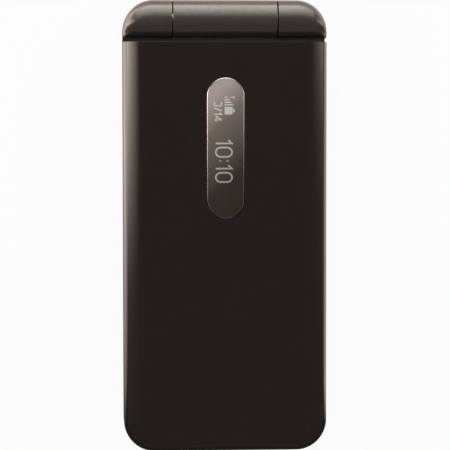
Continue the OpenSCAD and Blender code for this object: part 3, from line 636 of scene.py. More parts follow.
# Small outer window, its metal rim and the lit clock on it. The rim's crown has a share of its width
# and a drop from its top in each row.
outerWindow = {
    "chamfer": 0.12 * mm, "rimWidth": 0.3 * mm, "rimTop": 0.01 * mm, "glassDrop": 0.06 * mm,
    "rimCrown": [(0.6, 0.01 * mm), (0.8, 0), (1, 0.04 * mm)],
    "readoutProud": 0.015 * mm, "foot": 0.4 * mm, "footGap": 0.02 * mm, "roundSteps": 16,
}


def makeOuterWindow():
    look = outerWindow
    low, high, centre = span("sub_window")
    width, length = (high - low)[:2]
    rim, top = look["rimWidth"], high[2] - look["rimTop"]
    foot = low[2] + look["foot"]
    rimFoot = foot + look["footGap"]
    glass = [(0, low[2]), (0, foot), (rim, foot), (rim, high[2] - look["glassDrop"])]
    crown = [(share * rim, top - drop) for share, drop in look["rimCrown"]]
    ring = [(0, rimFoot), (0, top - look["chamfer"]), *crown, (rim, rimFoot)]
    glassLoops, rimLoops = (plateLoops(centre, width, length, width / 2, profile, look["roundSteps"])
                            for profile in (glass, ring))
    addPiece("outerWindow", loft(glassLoops), "lid", "pillWindow", ["sub_window"])
    addPiece("windowRim", loft(rimLoops, joined=True), "lid", "windowRim", smoothAngle=60)


makeOuterWindow()


# Flat band along a path: each point is moved half the width to either side, and further at a bend,
# along the line that halves the angle there. The four corners of the section are carried along.
def band(path, width, low, high, closed=False):
    path = np.asarray(path, float)
    ahead = np.roll(path, -1, 0) - path
    behind = path - np.roll(path, 1, 0)
    if not closed:
        ahead[-1] = behind[-1]
        behind[0] = ahead[0]
    ahead = ahead / np.linalg.norm(ahead, axis=1, keepdims=True)
    behind = behind / np.linalg.norm(behind, axis=1, keepdims=True)
    middle = ahead + behind
    across = np.stack([-middle[:, 1], middle[:, 0]], -1)
    across = across / np.linalg.norm(across, axis=1, keepdims=True)
    stretch = 1 / np.clip(across[:, 1] * ahead[:, 0] - across[:, 0] * ahead[:, 1], 0.4, 1)
    step = across * (stretch * width / 2)[:, None]
    flat = np.stack([path + step, path - step, path - step, path + step], 1)
    heights = np.broadcast_to(np.array([high, high, low, low])[None, :, None], (len(path), 4, 1))
    return loft(np.concatenate([flat, heights], -1), joined=closed)


# Circle or part of one as a path, from one angle to another in degrees.
def arcPath(centre, radius, start=0, end=360, steps=24, stretch=1):
    turn = np.radians(np.linspace(start, end, steps + 1))
    if abs(end - start) == 360:
        turn = turn[:-1]
    return np.stack([centre[0] + radius * stretch * np.cos(turn), centre[1] + radius * np.sin(turn)], -1)


# Flat solid over an outline that is walked anticlockwise.
def slab(outline, low, high):
    return loft([atHeight(np.asarray(outline, float), height) for height in (low, high)])


# Strokes of each figure, in a box 1 wide and 1.6 high about the origin: the figure's width, whether its
# strokes are closed, and their paths.
def figureStrokes():
    bowl = np.concatenate([arcPath((0, 0.3), 0.5, 0, 180, 16), arcPath((0, -0.3), 0.5, 180, 359.9, 16)])
    two = np.concatenate([arcPath((0, 0.31), 0.49, 165, -38, 14), [(-0.48, -0.78), (0.5, -0.78)]])
    five = np.concatenate([[(0.42, 0.78), (-0.36, 0.78), (-0.4, 0.06)],
                           arcPath((0, -0.3), 0.48, 128, -146, 18)])
    six = np.concatenate([arcPath((0.42, -0.2), 0.92, 106, 180, 8), arcPath((0, -0.3), 0.5, 180, 540, 24)])
    rays = [np.array((math.cos(t), math.sin(t))) * 0.46 for t in (math.pi / 2, math.pi / 6, -math.pi / 6)]
    return {
        "0": (1, True, [bowl]),
        "1": (0.5, False, [[(-0.22, 0.42), (0.14, 0.78), (0.14, -0.8)]]),
        "2": (1, False, [two]),
        "3": (1, False, [arcPath((0, 0.41), 0.39, 150, -90, 16), arcPath((0, -0.38), 0.42, 92, -150, 16)]),
        "4": (1, False, [[(0.2, -0.8), (0.2, 0.74), (-0.5, -0.36), (0.54, -0.36)]]),
        "5": (1, False, [five]),
        "6": (1, False, [six]),
        "7": (1, False, [[(-0.48, 0.78), (0.48, 0.78), (-0.14, -0.8)]]),
        "8": (1, True, [arcPath((0, 0.42), 0.36), arcPath((0, -0.36), 0.44)]),
        "9": (1, False, [-six]),
        ":": (0.2, True, [arcPath((0, y), 0.03, steps=8) for y in (0.36, -0.36)]),
        "/": (0.6, False, [[(-0.3, -0.8), (0.3, 0.8)]]),
        "*": (1, False, [[-ray, ray] for ray in rays]),
        "#": (1, False, [[(-0.32, -0.6), (-0.12, 0.6)], [(0.12, -0.6), (0.32, 0.6)],
                         [(-0.5, 0.22), (0.5, 0.22)], [(-0.5, -0.22), (0.5, -0.22)]]),
    }


figureSpace = 0.34


# Figures side by side about the origin: each stroke is a band along its path, and the paths are
# stretched to the width and height before the band gets its own width.
def figures(text, width, height, stroke, low, high):
    strokes = figureStrokes()
    total = sum(strokes[letter][0] for letter in text) + figureSpace * (len(text) - 1)
    start = -total / 2
    parts = []
    for letter in text:
        wide, closed, paths = strokes[letter]
        for path in paths:
            place = (np.asarray(path) + [start + wide / 2, 0]) * [width / total, height / 1.6]
            parts.append(band(place, stroke, low, high, closed))
        start += wide + figureSpace
    return joinParts(parts)


def moved(part, x, y):
    return part[0] + [x, y, 0], part[1]


# Signal bars that rise one by one, with a forked mast over the lowest. Sizes are shares of the height.
signal = {"step": 0.25, "lowest": 0.28, "rise": 0.2, "barWidth": 0.13, "mastWidth": 0.08}


def signalBars(height, low, high):
    step = signal["step"] * height
    fork = [(-0.5 * step, height), (0, 0.75 * height), (0.5 * step, height)]
    bars = [band([(i * step, 0), (i * step, height * (signal["lowest"] + signal["rise"] * i))],
                 signal["barWidth"] * height, low, high) for i in range(4)]
    mast = [band(path, signal["mastWidth"] * height, low, high)
            for path in ([(0, 0.5 * height), fork[1]], fork)]
    return joinParts(bars + mast)


def cellIcon(height, low, high):
    boxes = [(0, 0.75, 0, 0.78), (0.2, 0.55, 0.82, 1)]
    return joinParts([slab(np.array([(x0, y0), (x1, y0), (x1, y1), (x0, y1)]) * height, low, high)
                      for x0, x1, y0, y1 in boxes])


# Clock, date, signal bars and battery sign, each at its place on one sheet.
def clockFace(look, low, high):
    words = [moved(figures(look[word], *look[word + "Size"], look[word + "Stroke"], low, high),
                   *look[word + "Place"]) for word in ("clock", "date")]
    signs = [moved(draw(look["iconHeight"], low, high), *look[place])
             for draw, place in ((signalBars, "barsPlace"), (cellIcon, "cellPlace"))]
    return joinParts(words + signs)


# Lit readout on the outer window. Its own x runs down the phone and its own y to the right.
readout = {
    "clock": "10:10", "clockSize": (10.5 * mm, 4.05 * mm), "clockPlace": (3.1 * mm, -0.5 * mm),
    "clockStroke": 0.42 * mm,
    "date": "3/14", "dateSize": (4.9 * mm, 1.85 * mm), "datePlace": (-9.2 * mm, -1.95 * mm),
    "dateStroke": 0.32 * mm,
    "iconHeight": 2.5 * mm, "barsPlace": (-12.7 * mm, -0.3 * mm), "cellPlace": (-10.3 * mm, -0.3 * mm),
    # Ends of the painted reflection on the readout, from its tail end to its hinge end.
    "thickness": 0.03 * mm, "ends": (tone(108, 102, 99), tone(226, 222, 220)),
    "look": {"wear": 0.0, "dust": 0.0, "bump": 0.01,
             "shader": {"Emission Color": tone(214, 206, 202), "Emission Strength": 0.08}},
}


# Painted reflection on the readout: lighter towards its hinge end.
def readoutShade(tree):
    return blendTone(tree, windowShare(tree), *readout["ends"])


finishes["readoutLight"] = makeFinish("readoutLight", readout["look"], readoutShade)


def makeReadout():
    _, high, centre = span("sub_window")
    top = high[2] - outerWindow["glassDrop"] + outerWindow["readoutProud"]
    points, faces = clockFace(readout, top - readout["thickness"], top)
    turned = np.column_stack([centre[0] + points[:, 1], centre[1] - points[:, 0], points[:, 2]])
    addPiece("windowReadout", (turned, faces), "lid", "readoutLight")


makeReadout()
print("outer window made")

# Ends of the hinge barrel, whose section narrows as the phone's corner and edge round off. The last
# section stands a hair inside the cap's end.
knuckleCap = {
    "cornerRadius": 7.7 * mm, "edgeRadius": 3.6 * mm, "boreRadius": 2.75 * mm, "boreDepth": 8 * mm,
    "roundSteps": 22, "arcSteps": 36, "edge": 0.14 * mm, "endShare": 0.99999,
}


# One section of the barrel's end: a flat foot, two upright sides, and half an ellipse on top that
# spans the sides and rises to the height which the phone's rounded edge leaves at that x.
def capSection(look, x, low, high, axisZ):
    cornerX, edgeX = high[0] - look["cornerRadius"], high[0] - look["edgeRadius"]
    cut = look["cornerRadius"] - math.sqrt(look["cornerRadius"] ** 2 - max(x - cornerX, 0) ** 2)
    drop = look["edgeRadius"] - math.sqrt(max(look["edgeRadius"] ** 2 - max(x - edgeX, 0) ** 2, 0))
    nearY, farY = low[1], high[1] - cut
    turn = np.linspace(0, math.pi, look["arcSteps"])
    y = (nearY + farY) / 2 + (farY - nearY) / 2 * np.cos(turn)
    z = axisZ + (high[2] - drop - axisZ) * np.sin(turn)
    y = np.concatenate([[nearY, farY], y])
    z = np.concatenate([[low[2], low[2]], z])
    return np.column_stack([np.full_like(y, x), y, z])


def makeKnuckleCaps():
    look = knuckleCap
    low, high, _ = span("right_knuckle_cap")
    axis = np.array([(low[1] + high[1]) / 2, span("lid_knuckle")[0][2]])
    innerX = low[0]
    cornerX = high[0] - look["cornerRadius"]
    turn = np.linspace(0, math.pi / 2, look["roundSteps"])
    reach = look["cornerRadius"] * look["endShare"]
    stations = np.concatenate([[innerX], cornerX + reach * np.sin(turn)])
    outer = [capSection(look, x, low, high, axis[1]) for x in stations]
    around = np.arctan2(outer[0][:, 2] - axis[1], outer[0][:, 1] - axis[0])
    bore = [np.column_stack([np.full_like(around, x), axis[0] + look["boreRadius"] * np.cos(around),
                             axis[1] + look["boreRadius"] * np.sin(around)])
            for x in (innerX + look["boreDepth"], innerX)]
    cap = loft(bore + outer)
    for name, part in (("right", cap), ("left", mirrored(cap))):
        addPiece(name + "BarrelEnd", part, "base", "barrelMetal",
                 [name + "_knuckle_cap"], edge=look["edge"], smoothAngle=40)


makeKnuckleCaps()


# Corners of the base's back, which the CAD leaves with a mitred edge.
backCorner = {
    "middle": (17.8 * mm, 48.8 * mm), "arcMiddle": (4.5 * mm, 3.2 * mm), "radius": 3.2 * mm,
    "cutSlack": 1e-8, "wedges": 10, "rings": [4.5, 5, 5.5, 6, 6.5, 7],
    "heights": [0.06, 0.24, 0.54, 0.94, 1.42, 1.98, 2.58],
}


# The faces given, cut by a plane; gives back the faces that they have become.
def cutFaces(work, faces, point, normal):
    around = set(faces)
    for face in faces:
        around.update(face.edges, face.verts)
    done = bmesh.ops.bisect_plane(work, geom=list(around), dist=backCorner["cutSlack"], plane_co=point,
                                  plane_no=normal)
    return [part for part in done["geom"] if isinstance(part, bmesh.types.BMFace)]


# Rounds the back's corners: at each, a point's distance from the plan corner's middle and its height
# are drawn towards the middle of the edge's own arc, until they are no further off than its radius.
def roundBackCorners(work, look):
    middleX, middleY = look["middle"]
    arcOut, arcUp = look["arcMiddle"]
    for axis, value in ((0, middleX), (0, -middleX), (1, middleY), (1, -middleY)):
        point = Vector((0, 0, 0))
        point[axis] = value
        normal = Vector((1 - axis, axis, 0))
        bmesh.ops.bisect_plane(work, geom=work.verts[:] + work.edges[:] + work.faces[:],
                               dist=look["cutSlack"], plane_co=point, plane_no=normal)
    for sideX, sideY in ((1, 1), (-1, 1), (-1, -1), (1, -1)):
        point = Vector((sideX * middleX, sideY * middleY, 0))
        faces = []
        for face in work.faces:
            spot = face.calc_center_median()
            if (spot.x - point.x) * sideX > 0 and (spot.y - point.y) * sideY > 0 and spot.z < arcUp:
                faces.append(face)
        if not faces:
            continue
        for height in look["heights"]:
            faces = cutFaces(work, faces, Vector((0, 0, height * mm)), Vector((0, 0, 1)))
        turns = np.linspace(0, math.pi / 2, look["wedges"] + 1)
        for turn in turns[1:-1]:
            faces = cutFaces(work, faces, point, Vector((-sideX * math.sin(turn), sideY * math.cos(turn), 0)))
        for turn in (turns[1:] + turns[:-1]) / 2:
            out = Vector((sideX * math.cos(turn), sideY * math.sin(turn), 0))
            wedge = [face for face in faces
                     if (face.calc_center_median() - point).xy.angle(out.xy) < turns[1] / 2]
            faces = [face for face in faces if face not in set(wedge)]
            for ring in look["rings"]:
                wedge = cutFaces(work, wedge, point + out * ring * mm * math.cos(turns[1] / 2), out)
            faces += wedge
    points = np.array([vertex.co[:] for vertex in work.verts])
    beyond = np.maximum(np.abs(points[:, :2]) - look["middle"], 0)
    away = np.linalg.norm(beyond, axis=1)
    arm = np.column_stack([away - arcOut, points[:, 2] - arcUp])
    reach = np.linalg.norm(arm, axis=1)
    outside = (beyond > 1e-9).all(axis=1) & (arm[:, 0] > 0) & (arm[:, 1] < 0) & (reach > look["radius"])
    arm[outside] *= (look["radius"] / reach[outside])[:, None]
    scale = (arm[outside, 0] + arcOut) / away[outside]
    signs = np.sign(points[outside, :2])
    points[outside, :2] = signs * (look["middle"] + beyond[outside] * scale[:, None])
    points[outside, 2] = arm[outside, 1] + arcUp
    for vertex, place in zip(work.verts, points):
        vertex.co = place


# Copy of a CAD node with its loose triangles merged and its flat areas made whole, so that a bevel
# can round the edges that a mould or a polish would round.
def dressNode(node, name, finish, edge):
    source = frame["nodes"][node]
    work = bmesh.new()
    work.from_mesh(source.data)
    bmesh.ops.remove_doubles(work, verts=work.verts, dist=meshCare["nodeWeld"])
    bmesh.ops.dissolve_limit(work, angle_limit=meshCare["flat"], verts=work.verts, edges=work.edges)
    if node in ("base_rear_case", "battery_cover"):
        roundBackCorners(work, backCorner)
    addPiece(name, work, source["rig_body"], finish, [node], edge=edge)


# Casings and small parts whose shape is right in the CAD: node, piece, finish, rounding of edges.
dressed = [
    ("lid_knuckle", "barrelMiddle", "barrelMetal", 0.14 * mm),
    ("lid_case", "lidCase", "casePaint", 0.12 * mm),
    ("base_front_case", "keypadCase", "caseMetal", 0.12 * mm),
    ("base_rear_case", "rearCase", "backPlastic", 0.12 * mm),
    ("battery_cover", "batteryCover", "backPlastic", 0.15 * mm),
    ("port_cover", "portCover", "backPlastic", 0.12 * mm),
    ("side_key", "sideKey", "ringMetal", 0.2 * mm),
    ("display_window", "displayWindow", "displayGlass", 0.12 * mm),
    ("camera_window", "cameraWindow", "lensGlass", 0.15 * mm),
    ("flash_window", "flashWindow", "flashLens", 0.15 * mm),
    ("lid_bumpers", "lidBumpers", "rubber", 0.2 * mm),
    ("battery", "batteryPack", "cell", 0.3 * mm),
]
for node, name, finish, edge in dressed:
    dressNode(node, name, finish, edge)
print("casings dressed:", len(dressed))

# CAD nodes that keep their shape, by finish.
kept = {
    "blackPlastic": ["sub_display", "main_display", "receiver", "speaker", "camera_module"],
    "steel": ["display_frame", "lid_screws", "hinge_unit", "hinge_shaft", "shield_can",
              "vibration_motor", "usb_socket", "sim_socket", "base_screws", "nav_web"],
    "circuit": ["lid_board", "main_board"], "domeFilm": ["hinge_flex", "dome_sheet"],
    "earMesh": ["receiver_mesh"], "darkBrass": ["hinge_bush"], "keyRubber": ["key_sheet"],
    "rubber": ["battery_seal"],
}
for finish, nodes in kept.items():
    for node in nodes:
        for place in frame["nodes"][node].material_slots:
            place.material = finishes[finish]
print("inner nodes finished:", sum(len(nodes) for nodes in kept.values()))

# Keys: a flange under the deck, upright sides and a soft cushion top.
keyLook = {
    "flange": 0.4 * mm, "flangeHeight": 0.55 * mm, "radius": 1.3 * mm, "selectRadius": 2 * mm,
    "shoulder": 0.32 * mm, "crown": 0.1 * mm, "shoulderSteps": 5, "crownSteps": 6,
    "figureHeight": 3.7 * mm, "figureWidth": 2.2 * mm, "stroke": 0.4 * mm,
    "printProud": 0.02 * mm, "printDepth": 0.08 * mm, "crownEdge": 0.3 * mm,
}


# Profile of a key, as inset from its side and height: flange, side, a quarter circle for the
# shoulder, then a crown that rises as a sine towards the middle.
def keyProfile(look, low, high, halfWidth):
    flange = look["flange"]
    shoulder = look["shoulder"]
    turn = np.linspace(0, math.pi / 2, look["shoulderSteps"])
    edgeTop = high - look["crown"]
    rows = [(-flange, low), (-flange, low + look["flangeHeight"]), (0, low + look["flangeHeight"])]
    rows += [(shoulder * (1 - math.cos(t)), edgeTop - shoulder * (1 - math.sin(t))) for t in turn]
    reach = halfWidth - shoulder - look["crownEdge"]
    share = np.linspace(0, 1, look["crownSteps"] + 1)[1:]
    rows += [(shoulder + reach * s, edgeTop + look["crown"] * math.sin(s * math.pi / 2)) for s in share]
    return rows


def makeKey(node, finish="keyPlastic", radius=None):
    look = keyLook
    low, high, centre = span(node)
    width, length = (high - low)[:2] - 2 * look["flange"]
    profile = keyProfile(look, low[2], high[2], min(width, length) / 2)
    loops = plateLoops(centre, width, length, radius or look["radius"], profile)
    words = node.split("_")
    title = words[0] + "".join(word.capitalize() for word in words[1:])
    addPiece(title, loft(loops), node, finish, [node])
    return title, high[2], centre


# Path turned about the origin by an angle in degrees.
def turnedPath(path, degrees):
    turn = math.radians(degrees)
    x, y = np.asarray(path, float).T
    return np.stack([x * math.cos(turn) - y * math.sin(turn), x * math.sin(turn) + y * math.cos(turn)], -1)


# Handset: an arched bar with a block at each end.
handset = [(arcPath((0, -1.6), 2.1, 150, 30, 14), False, 0.55), ([(-1.95, -1.05), (-1.35, 0.05)], False, 1.0),
           ([(1.95, -1.05), (1.35, 0.05)], False, 1.0)]

# Signs on the keys, in millimetres: each band's path, whether it is closed, and its width.
keySigns = {
    "mail_key": [([(-1.7, -1.1), (1.7, -1.1), (1.7, 1.1), (-1.7, 1.1)], True, 0.4),
                 ([(-1.6, 1.0), (0, -0.2), (1.6, 1.0)], False, 0.4)],
    "camera_key": [([(-1.7, -1.1), (1.7, -1.1), (1.7, 0.8), (0.8, 0.8), (0.5, 1.2), (-0.5, 1.2),
                     (-0.8, 0.8), (-1.7, 0.8)], True, 0.4),
                   (arcPath((0, -0.15), 0.6), True, 0.4)],
    "web_key": [(arcPath((0, 0), 1.4), True, 0.4), (arcPath((0, 0), 1.4, stretch=0.45), True, 0.32),
                ([(-1.4, 0), (1.4, 0)], False, 0.32)],
    "menu_key": [],
    "call_key": [(turnedPath(path, 52), closed, width) for path, closed, width in handset],
    "clear_key": [([(-1.9, 0), (-0.9, 1.0), (1.7, 1.0), (1.7, -1.0), (-0.9, -1.0)], True, 0.4),
                  ([(-0.3, -0.4), (0.5, 0.4)], False, 0.4), ([(-0.3, 0.4), (0.5, -0.4)], False, 0.4)],
    "end_key": handset,
}
menuDots = {"radius": 0.34, "places": [(x, y) for x in (-1.1, 0, 1.1) for y in (-1.1, 0, 1.1)]}
signColours = {"call_key": "printGreen", "end_key": "printRed"}
keyFigures = {f"key_{i}": str(i) for i in range(10)} | {"key_star": "*", "key_hash": "#"}


def signParts(node, low, high):
    parts = [band(path, width, low, high, closed) for path, closed, width in keySigns[node]]
    if node == "menu_key":
        parts = [slab(arcPath(dot, menuDots["radius"], steps=12), low, high) for dot in menuDots["places"]]
    return [(points * [mm, mm, 1], faces) for points, faces in parts]


def makeKeys():
    look = keyLook
    for node in list(keySigns) + list(keyFigures):
        title, top, centre = makeKey(node)
        low, high = top - look["printDepth"], top + look["printProud"]
        if node in keySigns:
            parts = signParts(node, low, high)
        else:
            figure = keyFigures[node]
            width = look["figureWidth"] * figureStrokes()[figure][0]
            parts = [figures(figure, width, look["figureHeight"], look["stroke"], low, high)]
        addPiece(title + "Print", moved(joinParts(parts), *centre[:2]), node,
                 signColours.get(node, "printGrey"))


makeKeys()
print("keys made")

# Select key in the middle, and the direction ring that rocks round it. Each row of the ring's section
# is a width with its change, a corner radius, and a level with its change, in millimetres.
ringLook = {
    "flange": 0.4 * mm, "hole": 8.4 * mm, "webRoom": 11.9 * mm, "keyRoom": 9.4 * mm, "crown": 0.12 * mm,
    "arrow": [(0.75, 0), (-0.35, 0.75), (-0.35, -0.75)], "arrowPlace": 7.6 * mm,
    "circle": 1.1 * mm, "circleWidth": 0.28 * mm, "printDepth": 0.1 * mm, "printProud": 0.01 * mm,
    "section": [
        ("webRoom", 0, 3.2, "low", 0), ("rim", 0, 4.4, "low", 0), ("rim", 0, 4.4, "low", 0.25),
        ("face", 0, 4, "low", 0.25), ("face", 0, 4, "edge", -0.3), ("face", -0.14, 3.93, "edge", -0.12),
        ("face", -0.6, 3.7, "edge", 0), ("face", -3, 3.2, "high", -0.02), ("face", -5, 2.9, "high", 0),
        ("face", -8, 2.6, "high", -0.03), ("hole", 0.6, 2.4, "edge", 0), ("hole", 0.1, 2.25, "edge", -0.1),
        ("hole", 0, 2.2, "edge", -0.25), ("hole", 0, 2.2, "low", 0.72), ("keyRoom", 0, 2.6, "low", 0.72),
        ("keyRoom", 0, 2.6, "low", 0.4), ("webRoom", 0, 3.2, "low", 0.4),
    ],
}


def makeRing():
    look = ringLook
    low, high, centre = span("nav_ring")
    rim = (high - low)[0]
    widths = {**look, "rim": rim, "face": rim - 2 * look["flange"]}
    levels = {"low": low[2], "edge": high[2] - look["crown"], "high": high[2]}
    loops = [roundedLoop(centre, *[widths[width] + change * mm] * 2, radius * mm, levels[level] + up * mm)
             for width, change, radius, level, up in look["section"]]
    addPiece("directionRing", loft(loops, joined=True), "nav_ring", "ringMetal",
             ["nav_ring"])
    tip = np.array(look["arrow"]) * mm + [look["arrowPlace"], 0]
    bottom, top = high[2] - look["printDepth"], high[2] + look["printProud"]
    arrows = joinParts([slab(turnedPath(tip, degrees), bottom, top) for degrees in (0, 90, 180, 270)])
    addPiece("ringArrows", moved(arrows, *centre[:2]), "nav_ring", "printGrey")
    _, top, middle = makeKey("select_key", "ringMetal", keyLook["selectRadius"])
    circle = band(arcPath(middle, look["circle"], steps=32), look["circleWidth"],
                  top - keyLook["printDepth"], top + look["printProud"], closed=True)
    addPiece("selectPrint", circle, "select_key", "printGrey")


makeRing()
print("direction ring made")

# Lit picture of the main display, seen when the phone is open: plain shades and a clock.
screen = {
    "rim": 1.05 * mm, "end": 2.35 * mm, "sink": 0.06 * mm, "thickness": 0.03 * mm, "proud": 0.01 * mm,
    "cornerRadius": 0.3 * mm, "openingRadius": 0.4 * mm, "glassRadius": 2 * mm,
    "borderLevels": (0.01 * mm, 0.04 * mm),
    "clock": "10:10", "clockSize": (22 * mm, 8 * mm), "clockPlace": (0, 16 * mm),
    "clockStroke": 0.9 * mm,
    "date": "3/14", "dateSize": (9 * mm, 3 * mm), "datePlace": (0, 7.5 * mm), "dateStroke": 0.4 * mm,
    "iconHeight": 2.4 * mm, "barsPlace": (-17 * mm, 34.3 * mm), "cellPlace": (17 * mm, 34.3 * mm),
    "ends": (tone(58, 92, 118), tone(18, 26, 40)), "glow": 0.55, "waver": 0.03, "waverScale": 25.0,
    "white": {"tones": [(220, 222, 226), (226, 228, 232), (220, 222, 226)], "wear": 0.0, "dust": 0.0,
              "bump": 0.01, "shader": {"Emission Color": tone(226, 230, 236), "Emission Strength": 0.6}},
}


def makeScreenFinish():
    low, high, _ = span("main_display")
    material, tree, shader = newMaterial("screenLight")
    place = objectPlace(tree)
    waver = addNode(tree, "TexNoise", {"Vector": place, "Scale": screen["waverScale"],
                                       "Detail": 1.0}).outputs[0]
    along = calc(tree, "ADD", split(tree, place)[1], product(tree, waver, screen["waver"]))
    shade = blendTone(tree, fade(tree, along, float(low[1]), float(high[1])), *screen["ends"])
    feed(tree, shader, {"Base Color": shade, "Emission Color": shade, "Roughness": 0.3,
                        "Emission Strength": screen["glow"]})
    return material


finishes["screenLight"] = makeScreenFinish()
finishes["screenWhite"] = makeFinish("screenWhite", screen["white"])


# A part drawn upright on its own plane, turned to face down under the shut lid: its own y runs
# from the hinge to the tail.
def facingDown(part, centre, height):
    points, faces = part
    return np.column_stack([centre[0] + points[:, 0], centre[1] - points[:, 1], height - points[:, 2]]), faces


def makeScreen():
    look = screen
    low, high, centre = span("main_display")
    width, length = (high - low)[:2] - 2 * np.array([look["rim"], look["end"]])
    up = look["thickness"]
    face = low[2] + look["sink"] + up
    sheet = loft(plateLoops((0, 0), width, length, look["cornerRadius"], [(0, 0), (0, up)], 3))
    addPiece("screenPicture", facingDown(sheet, centre, face), "lid", "screenLight")
    signs = clockFace(look, up, up + look["proud"])
    addPiece("screenFigures", facingDown(signs, centre, face), "lid", "screenWhite")
    glassLow, glassHigh, glassCentre = span("display_window")
    size = (glassHigh - glassLow)[:2]
    bottom, top = glassHigh[2] + np.array(look["borderLevels"])
    outside = [roundedLoop(glassCentre, *size, look["glassRadius"], height) for height in (bottom, top)]
    opening = [roundedLoop(centre, width, length, look["openingRadius"], height) for height in (bottom, top)]
    border = loft([outside[0], *opening, outside[1]], joined=True)
    addPiece("windowBorder", border, "lid", "blackPlastic")


makeScreen()
print("main display made")

# Floor that keeps the shadow, and a dark tent whose graded glow the gloss reflects. A glow has its
# tone, the angle off the zenith at which it starts, and its start, end and power along y.
studio = {
    "floorSize": 12.0, "floorLevel": -0.1 * mm, "floorTone": tone(255, 255, 255), "floorLift": 0.92,
    "ambient": 0.3,
    "tentRadius": 1.0, "tentTone": (0.152, 0.125, 0.107), "tentFill": 0.14,
    "tentTop": 0.001, "tentRows": 24, "tentColumns": 64,
    "tentSides": [math.radians(10), math.radians(40), 1.0, 0.04], "glowFoot": math.radians(88),
    "left": ((7.3, 6.2, 5.6), 3, (-0.09, 0.121), 1.2),
    "right": ((3.0, 2.65, 2.5), 10, (-0.08, 0.13), 3.3),
    "hinge": ((4.9, 4.7, 4.5), 12, (0.0, 0.3), 1.0),
}


def backdropShare(tree):
    path = addNode(tree, "LightPath").outputs
    seen = calc(tree, "MAXIMUM", path["Is Camera Ray"], path["Is Glossy Ray"])
    return calc(tree, "MAXIMUM", seen, path["Is Transmission Ray"])


# Piece of the studio whose glow lights nothing by itself: it is only seen and mirrored.
def addStage(name, points, faces, material):
    mesh = bpy.data.meshes.new(name)
    mesh.from_pydata(points, [], faces)
    mesh.materials.append(material)
    material.cycles.emission_sampling = "NONE"
    holder = bpy.data.objects.new(name, mesh)
    bpy.context.scene.collection.objects.link(holder)
    return holder


# How bright the gloss sees the floor: white beyond the hinge, and graded beside the phone. Each fade
# has its start and end, and some their first and last strength.
floorShine = {
    "left": (-28 * mm, -48 * mm), "leftAlong": (-50 * mm, 20 * mm, 0.7, 3.6),
    "right": (29 * mm, 46 * mm), "rightAway": (50 * mm, 95 * mm, 1.6, 0.4),
    "tail": (-54 * mm, -44 * mm), "hinge": (50 * mm, 57 * mm), "tint": (1.0, 0.84, 0.76, 1),
}


def makeFloor():
    look = floorShine
    material, tree, shader = newMaterial("floorPaper")
    feed(tree, shader, {"Base Color": studio["floorTone"], "Roughness": 0.9, "Specular IOR Level": 0.1})
    x, y, _ = split(tree, objectPlace(tree))
    leftSide = product(tree, fade(tree, x, *look["left"]), fade(tree, y, *look["leftAlong"]))
    rightSide = product(tree, fade(tree, x, *look["right"]), fade(tree, x, *look["rightAway"]))
    besides = product(tree, calc(tree, "ADD", leftSide, rightSide), fade(tree, y, *look["tail"]))
    shine = calc(tree, "MAXIMUM", besides, fade(tree, y, *look["hinge"]))
    glossy = addNode(tree, "LightPath").outputs["Is Glossy Ray"]
    tint = blendTone(tree, glossy, (1, 1, 1, 1), look["tint"])
    light = addNode(tree, "Emission", {"Color": tint, "Strength": fade(tree, glossy, 0.0, 1.0, 1.0, shine)})
    lift = product(tree, backdropShare(tree), studio["floorLift"])
    mixed = addNode(tree, "MixShader", {0: lift, 1: shader.outputs[0], 2: light.outputs[0]})
    feed(tree, tree.nodes["Material Output"], {"Surface": mixed.outputs[0]})
    half, level = studio["floorSize"] / 2, studio["floorLevel"]
    corners = [(sideX * half, sideY * half, level) for sideX, sideY in ((-1, -1), (1, -1), (1, 1), (-1, 1))]
    addStage("floor", corners, [(0, 1, 2, 3)], material)


# Bounds of the shut lid's flat face, and of the band of the window's rim about the pill's outline.
# Each share rises or falls from its first value to its second.
glowShield = {
    "aside": (21 * mm, 19.8 * mm), "above": (16.2 * mm, 16.6 * mm), "tail": (-52.6 * mm, -51.6 * mm),
    "hinge": (45.6 * mm, 44.8 * mm), "rimIn": (-0.9 * mm, -0.6 * mm), "rimOut": (0.5 * mm, 0.2 * mm),
    "least": 0.06,
}


# Share of the dome's glow that a mirrored ray meets. The ray starts where it lands plus its way back
# times its length. From the shut lid's flat face it sees little of the glow, so that the face stays
# dark at low angles. The window's rim, a band at a set distance from the pill's centre line, sees all.
def glowShare(tree):
    look = glowShield
    geometry = addNode(tree, "NewGeometry").outputs
    back = scaled(tree, geometry["Incoming"], addNode(tree, "LightPath").outputs["Ray Length"])
    x, y, z = split(tree, vectorCalc(tree, "ADD", geometry["Position"], back))
    face = product(tree, ramp(tree, calc(tree, "ABSOLUTE", x), *look["aside"]), ramp(tree, z, *look["above"]),
                   ramp(tree, y, *look["tail"]), ramp(tree, y, *look["hinge"]))
    low, high, centre = span("sub_window")
    radius = (high[0] - low[0]) / 2
    straight = (high[1] - low[1]) / 2 - radius
    along = calc(tree, "ABSOLUTE", calc(tree, "SUBTRACT", y, centre[1]))
    beyond = calc(tree, "MAXIMUM", calc(tree, "SUBTRACT", along, straight), 0.0)
    flat = addNode(tree, "CombineXYZ", {0: x, 1: beyond}).outputs[0]
    reach = addNode(tree, "VectorMath", {0: flat}, operation="LENGTH").outputs["Value"]
    past = calc(tree, "SUBTRACT", reach, radius)
    rim = product(tree, ramp(tree, past, *look["rimIn"]), ramp(tree, past, *look["rimOut"]))
    kept = calc(tree, "MAXIMUM", calc(tree, "SUBTRACT", 1.0, face), rim)
    return fade(tree, kept, 0.0, 1.0, look["least"], 1.0)


